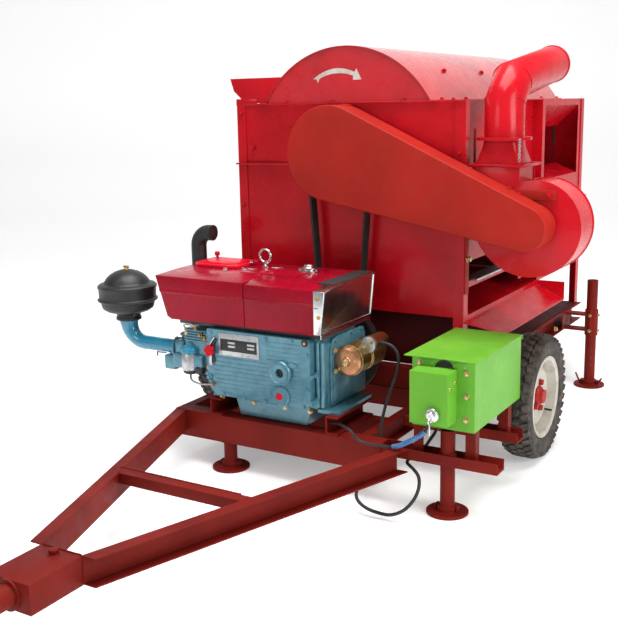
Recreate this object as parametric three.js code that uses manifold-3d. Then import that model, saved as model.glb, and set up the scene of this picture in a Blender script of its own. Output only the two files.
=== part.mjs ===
// A trailer corn sheller: diesel engine, belt-driven shelling drum, fan and battery box on two wheels.
// Millimetres, +X to the right seen from the drawbar, +Y to the rear, +Z up.
// The pieces are drawn with the axle above y = 0 and the drum above x = 0. At the end the whole
// machine moves so that its origin is the middle of its footprint, on the ground.

import * as THREE from 'three';
import { mergeVertices } from 'three/addons/utils/BufferGeometryUtils.js';
import Module from 'manifold-3d';

const wasm = await Module();
wasm.setup();

// Clearances and cutting room
const fit = 0.3;
const overrun = 5;
const runningGap = 2;

// Sheller body
const sheet = 4;
const body = {
  halfWidth: 595,
  front: -240,
  rear: 1580,
  bottom: 680,
  top: 1634,
  post: 50,
  postWall: 6,
  panelInset: 5,
};
// How far other pieces stand in from the body side, or out past it
const margin = {
  coverIn: 97,
  concaveIn: 155,
  toothIn: 203,
  sieveIn: 35,
  sieveOut: 23,
  recessIn: 55,
  feedOut: 37,
  feedIn: 49,
  trayOut: 147,
  fanOut: 317,
  ductLeftOut: 35,
  ductRightOut: 245,
  suctionOut: 421,
  railOut: 25,
  lowerIn: 5,
  tyreGap: 1,
  batteryChannelIn: 166,
  batteryLegIn: 146,
};

// Wheels and axle
const wheel = {
  diameter: 580,
  width: 145,
  rim_share: 0.5966,
  flange_share: 0.6414,
  rimWidth: 112,
  trackWidth: 1670,
  treadDepth: 12,
  lugWidth: 38,
  lugs: 10,
  discThickness: 6,
  hubDiameter: 96,
  hubLength: 74,
  boltCircle: 128,
  nuts: 5,
  nutAcross: 26,
  nutHeight: 18,
};
const axle = { side: 70, stubDiameter: 44, y: 25, z: 290 };
const ground = axle.z - wheel.diameter / 2;
const tyreFront = axle.y - wheel.diameter / 2;
const rimDiameter = wheel.diameter * wheel.rim_share;
const flangeDiameter = wheel.diameter * wheel.flange_share;
const boxRear = tyreFront + margin.tyreGap;

// Steel channels of the lower frame, the chassis and the drawbar
const steel = { wall: 6, flange: 48 };
const lower = {
  front: -812,
  left: -body.halfWidth - margin.lowerIn,
  crossHeight: 126,
  crossFlange: 80,
  height: 100,
  secondCross: -529,
  rear: 1,
  rightRail: 340,
  crossRight: 470,
};
const extension = { right: 973, height: 46, width: 80, rearFront: boxRear - margin.batteryChannelIn,
  rearRight: 920 };
const engineRail = { height: 80, width: 60, leftX: -397, rightX: 207, wall: 8 };
const chassis = { halfWidth: body.halfWidth + margin.railOut, railWidth: 60, height: 100, front: -252,
  rear: 1580, crossWidth: 60 };
const drawbar = {
  height: 100,
  width: 52,
  baseHalf: 540,
  noseHalf: 84,
  noseX: 15,
  noseY: -2160,
  tieY: -1542,
  tieWidth: 50,
  tieHeight: 44,
  plateLength: 222,
  plateThickness: 10,
  pipeDiameter: 78,
  pipeBore: 50,
  pipeLength: 410,
  pipeReach: 190,
  boltHeadAcross: 32,
  boltHeadHeight: 14,
};

// Legs with foot plates
const leg = {
  tube: 60,
  wall: 4,
  plate: 172,
  plateThickness: 12,
  collarDiameter: 84,
  collarHeight: 22,
  pinHole: 14,
  pinPitch: 60,
  leftX: -320,
  rightX: 751,
  frontTop: 236,
  batteryTop: 352,
  rearX: 764,
  rearY: 1284,
  rearTop: 620,
  sleeveDiameter: 76,
  sleeveHeight: 150,
};

// Drum cover and what is inside it
const cover = { radius: body.halfWidth - margin.coverIn, axisZ: 1390, flange: 30 };
const drum = {
  radius: 150,
  toothReach: body.halfWidth - margin.toothIn,
  toothRows: 6,
  teeth: 6,
  toothWidth: 26,
  toothThickness: 12,
  shaft: 60,
  front: -165,
  rear: 1500,
  shaftRear: 1640,
  discRadius: 210,
  discThickness: 10,
  wall: 8,
  vents: 3,
  ventRadius: 26,
  helixTurn_share: 0.5,
};
const concave = {
  radius: body.halfWidth - margin.concaveIn,
  wall: 5,
  barWidth: 16,
  ribs: 4,
  ribWidth: 14,
  bars: 9,
  front: -228,
  rear: 1520,
};
const bearing = { depth: 40, boltSquare: 130 };
const outlet = { front: 855, bottom: 1215, top: 1600, hoodDrop: 120 };
const window = { front: -150, rear: 420, top: 946 };
const sideDoor = { rear: 500, top: 930, slotTop: 740 };
const recess = { x: body.halfWidth - margin.recessIn, bottom: 1232, postWidth: 42 };
const feed = {
  front: -236,
  rear: 520,
  outerX: -body.halfWidth - margin.feedOut,
  lowerX: -body.halfWidth + margin.feedIn,
  top: 1757,
  mouthBottom: 1648,
  wall: 4,
  curve: 40,
};
const sieve = {
  z: 838,
  halfWidth: body.halfWidth - margin.sieveIn,
  reach: body.halfWidth + margin.sieveOut,
  front: -180,
  rear: 1490,
  depth: 30,
  holeRows: 4,
  holeColumns: 2,
  web: 26,
  travel: 12,
  runnerWidth: 34,
  runnerHeight: 28,
};
const tray = {
  innerZ: 688,
  step: 24,
  outerZ: 596,
  outerX: body.halfWidth + margin.trayOut,
  front: -236,
  rear: 800,
  outerFront: -100,
  leftZ: 800,
};

// Belt drives
const crank = { z: 505, pulleyRadius: 85, shaft: 60 };
const mainBelt = { front: -314, width: 54, thickness: 11 };
const pulley = { drumRadius: 150, lip: 7, lipWidth: 4, hub: 46 };
const fanBelt = { front: -352, width: 28, thickness: 10, drumRadius: 130, fanRadius: 60 };
const flywheel = { radius: 225, thickness: 50, front: -368, web: 18, rimDepth: 46 };
const guard = {
  front: -400,
  rear: -262,
  bigRadius: 215,
  smallRadius: 95,
  rise: 22,
  wall: 3,
  beltGapLeft: -190,
  beltGapRight: 170,
  lugWidth: 40,
};

// Fan and discharge pipe
const fan = {
  x: body.halfWidth + margin.fanOut,
  z: 1113,
  front: -250,
  width: 200,
  wall: 3,
  scroll: 190,
  ductLeft: body.halfWidth + margin.ductLeftOut,
  ductRight: body.halfWidth + margin.ductRightOut,
  ductTop: 1360,
  inletRadius: 100,
  bladeRadius: 168,
  blades: 5,
  bladeWidth: 120,
  shaft: 36,
  shaftHole: 40,
  flange: 22,
  flangeThickness: 6,
  suctionDepth: 190,
  suctionRight: body.halfWidth + margin.suctionOut,
  suctionBottom: 1010,
  suctionTop: 1216,
  bearing: 86,
  bearingDepth: 26,
  braceLength: 270,
  braceWidth: 30,
  braceAngle: 0.38,
  braceZ: 1346,
};
const pipe = {
  collarTop: 1470,
  diameter: 170,
  wall: 3,
  flangeDiameter: 236,
  flangeThickness: 6,
  kneeZ: 1624,
  goreRun: 84,
  goreRise: 88,
  run: 560,
  rise: 84,
  sides: 16,
};

// Engine
const engine = {
  left: -391,
  right: 190,
  front: -782,
  rear: -400,
  bottom: 350,
  top: 668,
  sumpBottom: 262,
  sumpInset: 130,
  footWidth: 52,
  footThickness: 16,
  chamfer: 36,
  wall: 14,
};
const gearCover = { thickness: 48, left: -386, right: 148, bottom: 358, top: 660, corner: 42 };
const boss = { radius: 44, height: 16, x: 4, z: 505, plugX: 0, plugZ: 398, plugRadius: 38, plugHeight: 8 };
const head = {
  left: -545,
  front: -792,
  rear: -470,
  bottom: 440,
  top: 640,
  coverLeft: -604,
  coverBottom: 470,
  coverTop: 610,
  pumpLeft: -600,
  pumpFront: -826,
  filterRadius: 42,
  filterTop: 560,
  filterBottom: 430,
};
const tank = {
  topLeft: -667,
  topRight: 176,
  bottomLeft: -591,
  bottomRight: 197,
  front: -832,
  rear: -375,
  top: 889,
  edge: 14,
  wall: 6,
  seamX: -181,
  seam: 5,
  lidX: -520,
  lidY: -480,
  lidLength: 250,
  lidWidth: 190,
  lidHeight: 20,
  capX: -56,
  capY: -483,
  neckRadius: 27,
  neckHeight: 8,
  eyeX: -300,
  eyeY: -470,
  eyeRadius: 30,
  eyeBar: 12,
  eyeStem: 26,
};
const cap = { radius: 36, height: 22 };
const cleaner = {
  x: -900,
  y: -760,
  radius: 142,
  bottom: 640,
  top: 912,
  neck: 46,
};
const intake = { diameter: 62, bendZ: 536, bendRadius: 96 };
const exhaust = { x: -716, y: -430, z: 560, diameter: 76, wall: 5, top: 1052, bend: 60, reach: 46 };
const starter = {
  x: 262,
  z: 556,
  radius: 62,
  front: -722,
  rear: -470,
  noseRadius: 44,
  noseRear: -430,
  capThickness: 16,
  solenoidX: 322,
  solenoidZ: 618,
  solenoidRadius: 33,
  solenoidFront: -640,
  solenoidRear: -500,
};
const lever = { x: -402, z: 566, length: 64, width: 14, thickness: 8, knobRadius: 24, knobPoints: 5,
  knobDepth: 18 };

// Battery box, control box and battery
const box = {
  left: 606,
  right: 871,
  front: -796,
  rear: boxRear,
  bottom: 360,
  top: 640,
  wall: 3,
  lidOverLeft: 38,
  lidOverRight: 6,
  lidOverRear: 4,
  lidLip: 18,
  hingeRadius: 5,
  hingeLength: 70,
  hingeInset: 30,
  cableHole: 40,
  cableX: 735,
  cableZ: 600,
  legWidth: 42,
  legWall: 5,
  legFront: -782,
  rearLegFront: boxRear - margin.batteryLegIn,
};
const control = { left: 637, right: 797, front: -890, bottom: 400, top: 610, wall: 3 };
const key = { x: 739, z: 447, barrel: 17, barrelDepth: 12, bladeLength: 22, bowWidth: 26, bowHeight: 40,
  thickness: 3 };
const battery = { length: 330, width: 172, height: 220, terminal: 18, terminalHeight: 16 };

// Cables
const starterCable = { diameter: 14, sides: 8, steps: 56, exit: 16 };
const controlCable = { diameter: 12, sides: 8, steps: 20, exit: 14 };

// Facets of round pieces
const fine = 24;
const round = 16;
const coarse = 8;

// Heights and places that follow from the sizes above
const wheelZ = axle.z;
const lowerTop = wheelZ - axle.side / 2 - fit;
const chassisBottom = wheelZ + axle.side / 2 + fit;
const chassisTop = chassisBottom + chassis.height;
const engineBase = lowerTop + fit + engineRail.height;
const frontLegY = lower.front + lower.crossFlange / 2;
const tankBottom = engine.top + fit;
const coverHalf = Math.sqrt(cover.radius ** 2 - (body.top - cover.axisZ) ** 2);
const wheelX = wheel.trackWidth / 2;
const fanRear = fan.front + fan.width;

// Paints and materials
const paint = (color, roughness = 0.4, metalness = 0.1) =>
  new THREE.MeshStandardMaterial({ color, roughness, metalness });
const bodyRed = () => paint('#c8101e');
const guardRed = () => paint('#a82a1e', 0.5);
const frameRed = () => paint('#8f2018', 0.55);
const tankRed = () => paint('#a5123c', 0.3);
const engineBlue = () => paint('#2c7286', 0.45, 0.3);
const boxGreen = () => paint('#5fbf35', 0.45);
const rubber = () => paint('#1b1b1c', 0.85, 0);
const rimWhite = () => paint('#d9dad6', 0.5);
const hubRed = () => paint('#c23535', 0.5);
const brass = () => paint('#b08a52', 0.35, 0.8);
const iron = () => paint('#4a4744', 0.5, 0.6);
const brightSteel = () => paint('#c9cbcd', 0.25, 0.9);
const blackPaint = () => paint('#232324', 0.5);

const machine = new THREE.Group();

function part(name, geometry, material) {
  const mesh = new THREE.Mesh(geometry, material);
  mesh.name = name;
  machine.add(mesh);
  return mesh;
}

// Solids: joins and cuts

function solid(geometry) {
  const bare = geometry.clone();
  bare.deleteAttribute('normal');
  bare.deleteAttribute('uv');
  const merged = mergeVertices(bare, 1e-4);
  const source = new wasm.Mesh({
    numProp: 3,
    vertProperties: new Float32Array(merged.attributes.position.array),
    triVerts: new Uint32Array(merged.index.array),
  });
  return new wasm.Manifold(source);
}

function geometryOf(shape) {
  const mesh = shape.getMesh();
  const geometry = new THREE.BufferGeometry();
  geometry.setAttribute('position', new THREE.BufferAttribute(new Float32Array(mesh.vertProperties), 3));
  geometry.setIndex(new THREE.BufferAttribute(new Uint32Array(mesh.triVerts), 1));
  return geometry;
}

const join = (...pieces) => geometryOf(pieces.map(solid).reduce((a, b) => a.add(b)));
const cut = (base, ...tools) => geometryOf(tools.map(solid).reduce((a, b) => a.subtract(b), solid(base)));

// Shapes in place: every maker gives a geometry in machine coordinates

function block(x0, x1, y0, y1, z0, z1) {
  const geometry = new THREE.BoxGeometry(x1 - x0, y1 - y0, z1 - z0);
  return geometry.translate((x0 + x1) / 2, (y0 + y1) / 2, (z0 + z1) / 2);
}

function shapeOf(points) {
  return new THREE.Shape(points.map(([u, v]) => new THREE.Vector2(u, v)));
}

function extrude(shape, depth, curveSegments = coarse) {
  return new THREE.ExtrudeGeometry(shape, { depth, bevelEnabled: false, curveSegments });
}

// A profile drawn in y and z, run along x
function alongX(shape, x0, x1, curveSegments) {
  const turn = new THREE.Matrix4().set(0, 0, 1, 0, 1, 0, 0, 0, 0, 1, 0, 0, 0, 0, 0, 1);
  return extrude(shape, x1 - x0, curveSegments).applyMatrix4(turn).translate(x0, 0, 0);
}

// A profile drawn in x and z, run along y
function alongY(shape, y0, y1, curveSegments) {
  return extrude(shape, y1 - y0, curveSegments).rotateX(Math.PI / 2).translate(0, y1, 0);
}

// A profile drawn in x and y, run along z
function alongZ(shape, z0, z1, curveSegments) {
  return extrude(shape, z1 - z0, curveSegments).translate(0, 0, z0);
}

function rodX(radius, x0, x1, y, z, sides = round) {
  return new THREE.CylinderGeometry(radius, radius, x1 - x0, sides)
    .rotateZ(-Math.PI / 2)
    .translate((x0 + x1) / 2, y, z);
}

function rodY(radius, y0, y1, x, z, sides = round) {
  return new THREE.CylinderGeometry(radius, radius, y1 - y0, sides).translate(x, (y0 + y1) / 2, z);
}

function rodZ(radius, z0, z1, x, y, sides = round) {
  return new THREE.CylinderGeometry(radius, radius, z1 - z0, sides)
    .rotateX(Math.PI / 2)
    .translate(x, y, (z0 + z1) / 2);
}

// A turned piece about an axis along +Z: the profile is a list of radius and height
function turned(profile, sides = round) {
  const points = profile.map(([r, h]) => new THREE.Vector2(r, h));
  return new THREE.LatheGeometry(points, sides).rotateX(Math.PI / 2);
}

// The radius of a faceted hole round a piece with the same facets that doesn't turn in it
const seatRadius = (radius, sides) => radius + fit / Math.cos(Math.PI / sides);

// The radius that keeps a round cut with flat facets clear of a round piece
const clearRadius = (radius, sides) => (radius + fit) / Math.cos(Math.PI / sides);

// A pipe of straight runs with mitred corners, as a solid rod
function mitredRod(points, radius, sides) {
  const rings = points.map((point, i) => {
    const before = i > 0 ? point.clone().sub(points[i - 1]).normalize() : null;
    const after = i < points.length - 1 ? points[i + 1].clone().sub(point).normalize() : null;
    const along = before ?? after;
    const normal = before && after ? before.clone().add(after).normalize() : along;
    const across = new THREE.Vector3(1, 0, 0);
    const up = new THREE.Vector3().crossVectors(across, along).normalize();
    return Array.from({ length: sides }, (_, k) => {
      const angle = (2 * Math.PI * k) / sides;
      const offset = across.clone().multiplyScalar(radius * Math.cos(angle));
      offset.addScaledVector(up, radius * Math.sin(angle));
      const slide = -offset.dot(normal) / along.dot(normal);
      return point.clone().add(offset).addScaledVector(along, slide);
    });
  });
  return skin(rings);
}

// A closed solid through rings of points, each ring as long as the others
function skin(rings) {
  const sides = rings[0].length;
  const centres = [rings[0], rings[rings.length - 1]].map((ring) =>
    ring.reduce((sum, p) => sum.add(p), new THREE.Vector3()).divideScalar(sides));
  const positions = [...rings.flat(), ...centres].flatMap((p) => [p.x, p.y, p.z]);
  const index = [];
  const first = rings.length * sides;
  for (let k = 0; k < sides; k += 1) {
    const next = (k + 1) % sides;
    for (let i = 0; i + 1 < rings.length; i += 1) {
      const a = i * sides + k;
      const b = i * sides + next;
      index.push(a, b, b + sides, a, b + sides, a + sides);
    }
    const end = (rings.length - 1) * sides;
    index.push(first, next, k, first + 1, end + k, end + next);
  }
  const geometry = new THREE.BufferGeometry();
  geometry.setAttribute('position', new THREE.Float32BufferAttribute(positions, 3));
  geometry.setIndex(index);
  return outward(geometry);
}

// Turns a closed surface so that its faces point out
function outward(geometry) {
  const p = geometry.attributes.position;
  const t = geometry.index.array;
  let volume = 0;
  for (let i = 0; i < t.length; i += 3) {
    const [a, b, c] = [t[i], t[i + 1], t[i + 2]].map((k) => new THREE.Vector3().fromBufferAttribute(p, k));
    volume += a.dot(b.cross(c));
  }
  if (volume > 0) return geometry;
  const flipped = [];
  for (let i = 0; i < t.length; i += 3) flipped.push(t[i], t[i + 2], t[i + 1]);
  geometry.setIndex(flipped);
  return geometry;
}

// Frame members

// A channel profile, web at u = 0 and flanges towards +u, or towards -u where facing is -1
function channelShape(u, v, flange, height, facing = 1, wall = steel.wall) {
  const f = (a) => u + facing * a;
  return shapeOf([
    [f(0), v], [f(flange), v], [f(flange), v + wall], [f(wall), v + wall],
    [f(wall), v + height - wall], [f(flange), v + height - wall], [f(flange), v + height],
    [f(0), v + height],
  ]);
}

function frontCross() {
  const bottom = lowerTop - lower.crossHeight;
  const rightZ = lowerTop - extension.height;
  const back = lower.front + extension.width;
  const beam = alongX(channelShape(lower.front, bottom, lower.crossFlange, lower.crossHeight), lower.left,
    lower.crossRight);
  const trough = cut(
    block(lower.crossRight - steel.wall, extension.right, lower.front, back, rightZ, lowerTop),
    block(lower.crossRight, extension.right + overrun, lower.front + steel.wall, back - steel.wall,
      rightZ + steel.wall, lowerTop + overrun),
  );
  const sleeve = rodZ(leg.sleeveDiameter / 2, bottom, lowerTop, leg.leftX, frontLegY, coarse);
  const sleeveRight = rodZ(leg.sleeveDiameter / 2, rightZ, lowerTop, leg.rightX, frontLegY, coarse);
  const bore = seatRadius(leg.tube / 2, coarse);
  return cut(
    join(beam, trough, sleeve, sleeveRight),
    rodZ(bore, bottom - overrun, leg.frontTop + fit, leg.leftX, frontLegY, coarse),
    rodZ(bore, rightZ - overrun, lowerTop + overrun, leg.rightX, frontLegY, coarse),
  );
}
part('front_cross_member', frontCross(), frameRed());

const lowerBottom = lowerTop - lower.height;
const innerLeft = lower.left + steel.flange + fit;
const innerRight = lower.rightRail - fit;
part('second_cross_member',
  alongX(channelShape(lower.secondCross, lowerBottom, steel.flange, lower.height), innerLeft, innerRight),
  frameRed());
part('lower_rear_cross_member',
  alongX(channelShape(lower.rear - steel.flange, lowerBottom, steel.flange, lower.height), innerLeft,
    innerRight),
  frameRed());

const railFront = lower.front + lower.crossFlange + fit;
const lowerRailRear = lower.rear + steel.flange;
part('lower_rail_left',
  alongY(channelShape(lower.left + steel.flange, lowerBottom, steel.flange, lower.height, -1), railFront,
    lowerRailRear),
  frameRed());
part('lower_rail_right',
  alongY(channelShape(lower.rightRail, lowerBottom, steel.flange, lower.height), railFront, lowerRailRear),
  frameRed());

function rearBatteryChannel() {
  const bottom = lowerTop - extension.height;
  const left = lower.rightRail + steel.flange + fit;
  const back = extension.rearFront + extension.width;
  return cut(
    block(left, extension.rearRight, extension.rearFront, back, bottom, lowerTop),
    block(left - overrun, extension.rearRight + overrun, extension.rearFront + steel.wall, back - steel.wall,
      bottom + steel.wall, lowerTop + overrun),
  );
}
part('battery_channel_rear', rearBatteryChannel(), frameRed());

function engineRailShape(x, facing) {
  return channelShape(x, lowerTop + fit, engineRail.width, engineRail.height, facing, engineRail.wall);
}
const railRear = lower.secondCross + steel.flange;
part('engine_rail_left',
  alongY(engineRailShape(engineRail.leftX, 1), lower.front, railRear),
  frameRed());
part('engine_rail_right',
  alongY(engineRailShape(engineRail.rightX, 1), lower.front, railRear),
  frameRed());

function chassisRail(side) {
  const web = side * (chassis.halfWidth - chassis.railWidth);
  const rail = alongY(channelShape(web, chassisBottom, chassis.railWidth, chassis.height, side),
    chassis.front, chassis.rear);
  const inner = side > 0 ? chassis.halfWidth - steel.wall : -leg.rearX;
  const outer = side > 0 ? leg.rearX : -chassis.halfWidth + steel.wall;
  const halfArm = leg.sleeveDiameter / 2 - steel.wall;
  const arms = [chassisBottom, chassisTop - steel.wall * 2].map((z) =>
    block(inner, outer, leg.rearY - halfArm, leg.rearY + halfArm, z, z + steel.wall * 2));
  const backPlate = block(side > 0 ? chassis.halfWidth - steel.wall : -chassis.halfWidth,
    side > 0 ? chassis.halfWidth : -chassis.halfWidth + steel.wall,
    leg.rearY - leg.sleeveDiameter, leg.rearY + leg.sleeveDiameter, chassisBottom, chassisTop);
  const middle = (chassisBottom + chassisTop) / 2;
  const sleeve = rodZ(leg.sleeveDiameter / 2, middle - leg.sleeveHeight / 2, middle + leg.sleeveHeight / 2,
    side * leg.rearX, leg.rearY, coarse);
  const bore = rodZ(seatRadius(leg.tube / 2, coarse), 0, leg.rearTop + overrun, side * leg.rearX, leg.rearY,
    coarse);
  return cut(join(rail, ...arms, backPlate, sleeve), bore);
}
part('chassis_rail_left', chassisRail(-1), frameRed());
part('chassis_rail_right', chassisRail(1), frameRed());

const crossHalf = chassis.halfWidth - chassis.railWidth - fit;
function chassisFrontCross() {
  const y = chassis.front;
  const beam = alongX(channelShape(y, chassisBottom, chassis.crossWidth, chassis.height), -crossHalf,
    crossHalf);
  const foot = lowerTop + fit;
  const leftRailEdge = lower.left + steel.flange;
  const leftEnd = leftRailEdge + 2 * steel.wall;
  const rear = y + chassis.crossWidth;
  const leftPad = block(lower.left + 2 * steel.wall, leftEnd, y, rear, foot, chassisBottom - fit);
  const leftPost = block(-crossHalf, leftEnd, y, rear, foot, chassisBottom + steel.wall);
  const rightPost = block(lower.rightRail, lower.rightRail + steel.flange, y, rear, foot,
    chassisBottom + steel.wall);
  return join(beam, leftPad, leftPost, rightPost);
}
part('chassis_cross_front', chassisFrontCross(), frameRed());
part('chassis_cross_rear',
  alongX(channelShape(chassis.rear, chassisBottom, chassis.crossWidth, chassis.height, -1), -crossHalf,
    crossHalf),
  frameRed());

// The A-frame drawbar

function drawbarLeg(side) {
  const base = new THREE.Vector2(side * drawbar.baseHalf, lower.front - fit);
  const nose = new THREE.Vector2(drawbar.noseX + side * drawbar.noseHalf, drawbar.noseY);
  const length = base.distanceTo(nose);
  const angle = Math.atan2(base.x - nose.x, base.y - nose.y);
  const bottom = lowerTop - drawbar.height;
  const channel = alongY(channelShape(0, bottom, drawbar.width, drawbar.height, side), 0,
    length + drawbar.width);
  channel.rotateZ(-angle).translate(nose.x, nose.y, 0);
  const wide = drawbar.baseHalf * 2;
  const square = (y0, y1) => block(-wide, wide, y0, y1, 0, wheel.diameter);
  return cut(channel, square(base.y, base.y + wide), square(nose.y - wide, nose.y));
}
part('drawbar_left', drawbarLeg(-1), frameRed());
part('drawbar_right', drawbarLeg(1), frameRed());

function drawbarTie() {
  const reach = (y) => {
    const share = (y - drawbar.noseY) / (lower.front - fit - drawbar.noseY);
    return drawbar.noseHalf + (drawbar.baseHalf - drawbar.noseHalf) * share;
  };
  const shift = (y, side) => drawbar.noseX * (1 - (y - drawbar.noseY) / (lower.front - drawbar.noseY))
    + side * (reach(y) - 2 * fit);
  const y0 = drawbar.tieY - drawbar.tieWidth / 2;
  const y1 = drawbar.tieY + drawbar.tieWidth / 2;
  const outline = shapeOf([
    [shift(y0, -1), y0], [shift(y0, 1), y0], [shift(y1, 1), y1], [shift(y1, -1), y1],
  ]);
  const bar = alongZ(outline, lowerTop - drawbar.tieHeight, lowerTop);
  const hollow = block(-drawbar.baseHalf, drawbar.baseHalf, y0 + steel.wall, y1 - steel.wall, 0,
    lowerTop - steel.wall);
  return cut(bar, hollow);
}
part('drawbar_tie', drawbarTie(), frameRed());

function nosePlate() {
  const half = drawbar.noseHalf + steel.wall;
  const rear = drawbar.noseY + fit;
  const front = drawbar.noseY - drawbar.plateLength;
  const bottom = lowerTop - drawbar.height;
  const x = drawbar.noseX;
  const noseBox = cut(
    block(x - half, x + half, front, rear - 2 * fit, bottom, lowerTop),
    block(x - half + steel.wall, x + half - steel.wall, front - overrun, rear,
      bottom + drawbar.plateThickness, lowerTop - drawbar.plateThickness),
  );
  const axisZ = (bottom + lowerTop) / 2;
  const rearPipe = front + drawbar.pipeReach;
  const tube = rodY(drawbar.pipeDiameter / 2, rearPipe - drawbar.pipeLength, rearPipe, x, axisZ);
  const saddles = [-1, 1].map((side) =>
    block(x + side * half / 2 - half / 2, x + side * half / 2 + half / 2, front,
      front + drawbar.plateThickness, bottom, lowerTop));
  const bolts = [rear - drawbar.boltHeadAcross, front - drawbar.pipeLength / 4].map((y, i) =>
    rodZ(drawbar.boltHeadAcross / 2, i ? axisZ : lowerTop - steel.wall,
      (i ? axisZ + drawbar.pipeDiameter / 2 : lowerTop) + drawbar.boltHeadHeight, x, y, 6));
  const bore = rodY(drawbar.pipeBore / 2, rearPipe - drawbar.pipeLength - overrun,
    rearPipe - drawbar.plateThickness, x, axisZ);
  return cut(join(noseBox, tube, ...saddles, ...bolts), bore);
}
part('drawbar_nose', nosePlate(), frameRed());

// Axle and wheels

function axleBeam() {
  const inner = wheelX - wheel.rimWidth / 2 - fit;
  const half = axle.side / 2;
  const stubEnd = wheelX + wheel.hubLength / 2;
  return join(
    block(-inner + steel.flange, inner - steel.flange, axle.y - half, axle.y + half, wheelZ - half,
      wheelZ + half),
    rodX(axle.stubDiameter / 2, -stubEnd, stubEnd, axle.y, wheelZ),
  );
}
part('axle_beam', axleBeam(), frameRed());

function tyre(side) {
  const r = wheel.diameter / 2;
  const w = wheel.width / 2;
  const bead = rimDiameter / 2;
  const shoulder = r - wheel.treadDepth * 2;
  const half = wheel.rimWidth / 2 - wheel.discThickness - fit;
  const flange = flangeDiameter / 2 + fit;
  const section = [
    [bead, -half], [flange, -half], [flange + wheel.treadDepth, -w], [shoulder - wheel.treadDepth, -w],
    [r - wheel.treadDepth, -w + wheel.treadDepth * 2], [r - wheel.treadDepth, w - wheel.treadDepth * 2],
    [shoulder - wheel.treadDepth, w], [flange + wheel.treadDepth, w], [flange, half], [bead, half],
    [bead, -half],
  ];
  const carcass = turned(section, fine);
  const lugs = [];
  for (let k = 0; k < wheel.lugs; k += 1) {
    for (const hand of [-1, 1]) {
      const angle = (2 * Math.PI * (k + (hand > 0 ? 0.5 : 0))) / wheel.lugs;
      const outer = w - wheel.treadDepth / 2;
      const inner = wheel.treadDepth;
      const lug = alongZ(shapeOf([
        [shoulder, -wheel.lugWidth / 2], [r, -wheel.lugWidth / 2], [r, wheel.lugWidth / 2],
        [shoulder, wheel.lugWidth / 2],
      ]), Math.min(hand * inner, hand * outer), Math.max(hand * inner, hand * outer));
      lugs.push(lug.rotateZ(angle));
    }
  }
  return join(carcass, ...lugs).rotateY(Math.PI / 2).translate(side * wheelX, axle.y, wheelZ);
}

function rim(side) {
  const bead = rimDiameter / 2 - fit;
  const flange = flangeDiameter / 2;
  const half = wheel.rimWidth / 2;
  const wall = wheel.discThickness;
  const well = bead - wall * 3;
  const disc = half * 0.35;
  const hub = wheel.hubDiameter / 2;
  const bore = clearRadius(axle.stubDiameter / 2, round) + fit;
  const shoulderRing = wheel.boltCircle / 2 + wheel.nutAcross;
  const barrel = turned([
    [hub - wall, disc], [shoulderRing, disc], [well - wall, -wall], [bead - wall, -half], [flange, -half],
    [flange, -half + wall], [bead, -half + wall], [bead, half - wall], [flange, half - wall],
    [flange, half], [bead - wall, half], [well - wall, wall], [shoulderRing, disc + wall],
    [hub - wall, disc + wall], [hub - wall, disc],
  ], fine);
  const hubBody = turned([
    [bore, -wheel.hubLength / 2], [hub, -wheel.hubLength / 2], [hub, disc + wall * 2],
    [hub * 0.8, wheel.hubLength / 2 + wall], [0, wheel.hubLength / 2 + wall],
    [0, wheel.hubLength / 2 + fit], [bore, wheel.hubLength / 2 + fit], [bore, -wheel.hubLength / 2],
  ], round);
  const nuts = Array.from({ length: wheel.nuts }, (_, k) => {
    const angle = (2 * Math.PI * k) / wheel.nuts;
    const nut = new THREE.CylinderGeometry(wheel.nutAcross / 2, wheel.nutAcross / 2, wheel.nutHeight, 6);
    nut.rotateX(Math.PI / 2);
    return nut.translate(wheel.boltCircle / 2 * Math.cos(angle), wheel.boltCircle / 2 * Math.sin(angle),
      disc + wall + wheel.nutHeight / 2);
  });
  return join(barrel, hubBody, ...nuts)
    .rotateY(side * Math.PI / 2)
    .translate(side * wheelX, axle.y, wheelZ);
}
for (const [name, side] of [['left', -1], ['right', 1]]) {
  part(`tyre_${name}`, tyre(side), rubber());
  part(`rim_${name}`, rim(side), rimWhite());
}

// Legs: a tube with pin holes, a collar and a round foot plate

function legPost(x, y, top, pinFrom) {
  const floor = ground + leg.plateThickness;
  const tube = rodZ(leg.tube / 2, ground, top, x, y, coarse);
  const foot = rodZ(leg.plate / 2, ground, floor, x, y);
  const collar = rodZ(leg.collarDiameter / 2, ground, floor + leg.collarHeight, x, y, coarse);
  const bore = rodZ(leg.tube / 2 - leg.wall, floor, top + overrun, x, y, coarse);
  const holes = [0, 1].map((k) =>
    rodX(leg.pinHole / 2, x - leg.tube, x + leg.tube, y, ground + pinFrom + k * leg.pinPitch, 6));
  return cut(join(tube, foot, collar), bore, ...holes);
}
part('leg_front_left', legPost(leg.leftX, frontLegY, leg.frontTop, leg.pinPitch), frameRed());
part('leg_front_right', legPost(leg.rightX, frontLegY, leg.batteryTop, leg.pinPitch), frameRed());
part('leg_rear_left', legPost(-leg.rearX, leg.rearY, leg.rearTop, leg.pinPitch * 2), frameRed());
part('leg_rear_right', legPost(leg.rearX, leg.rearY, leg.rearTop, leg.pinPitch * 2), frameRed());

// Sheller body

function cornerPost(sideX, sideY) {
  const x0 = sideX * body.halfWidth;
  const x1 = sideX * (body.halfWidth - body.post);
  const y0 = sideY > 0 ? body.rear : body.front;
  const y1 = y0 - sideY * body.post;
  const inX = x0 - sideX * body.postWall;
  const inY = y0 - sideY * body.postWall;
  const outline = [[x0, y0], [x1, y0], [x1, inY], [inX, inY], [inX, y1], [x0, y1]];
  return alongZ(shapeOf(outline), chassisTop + fit, body.top);
}

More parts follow.
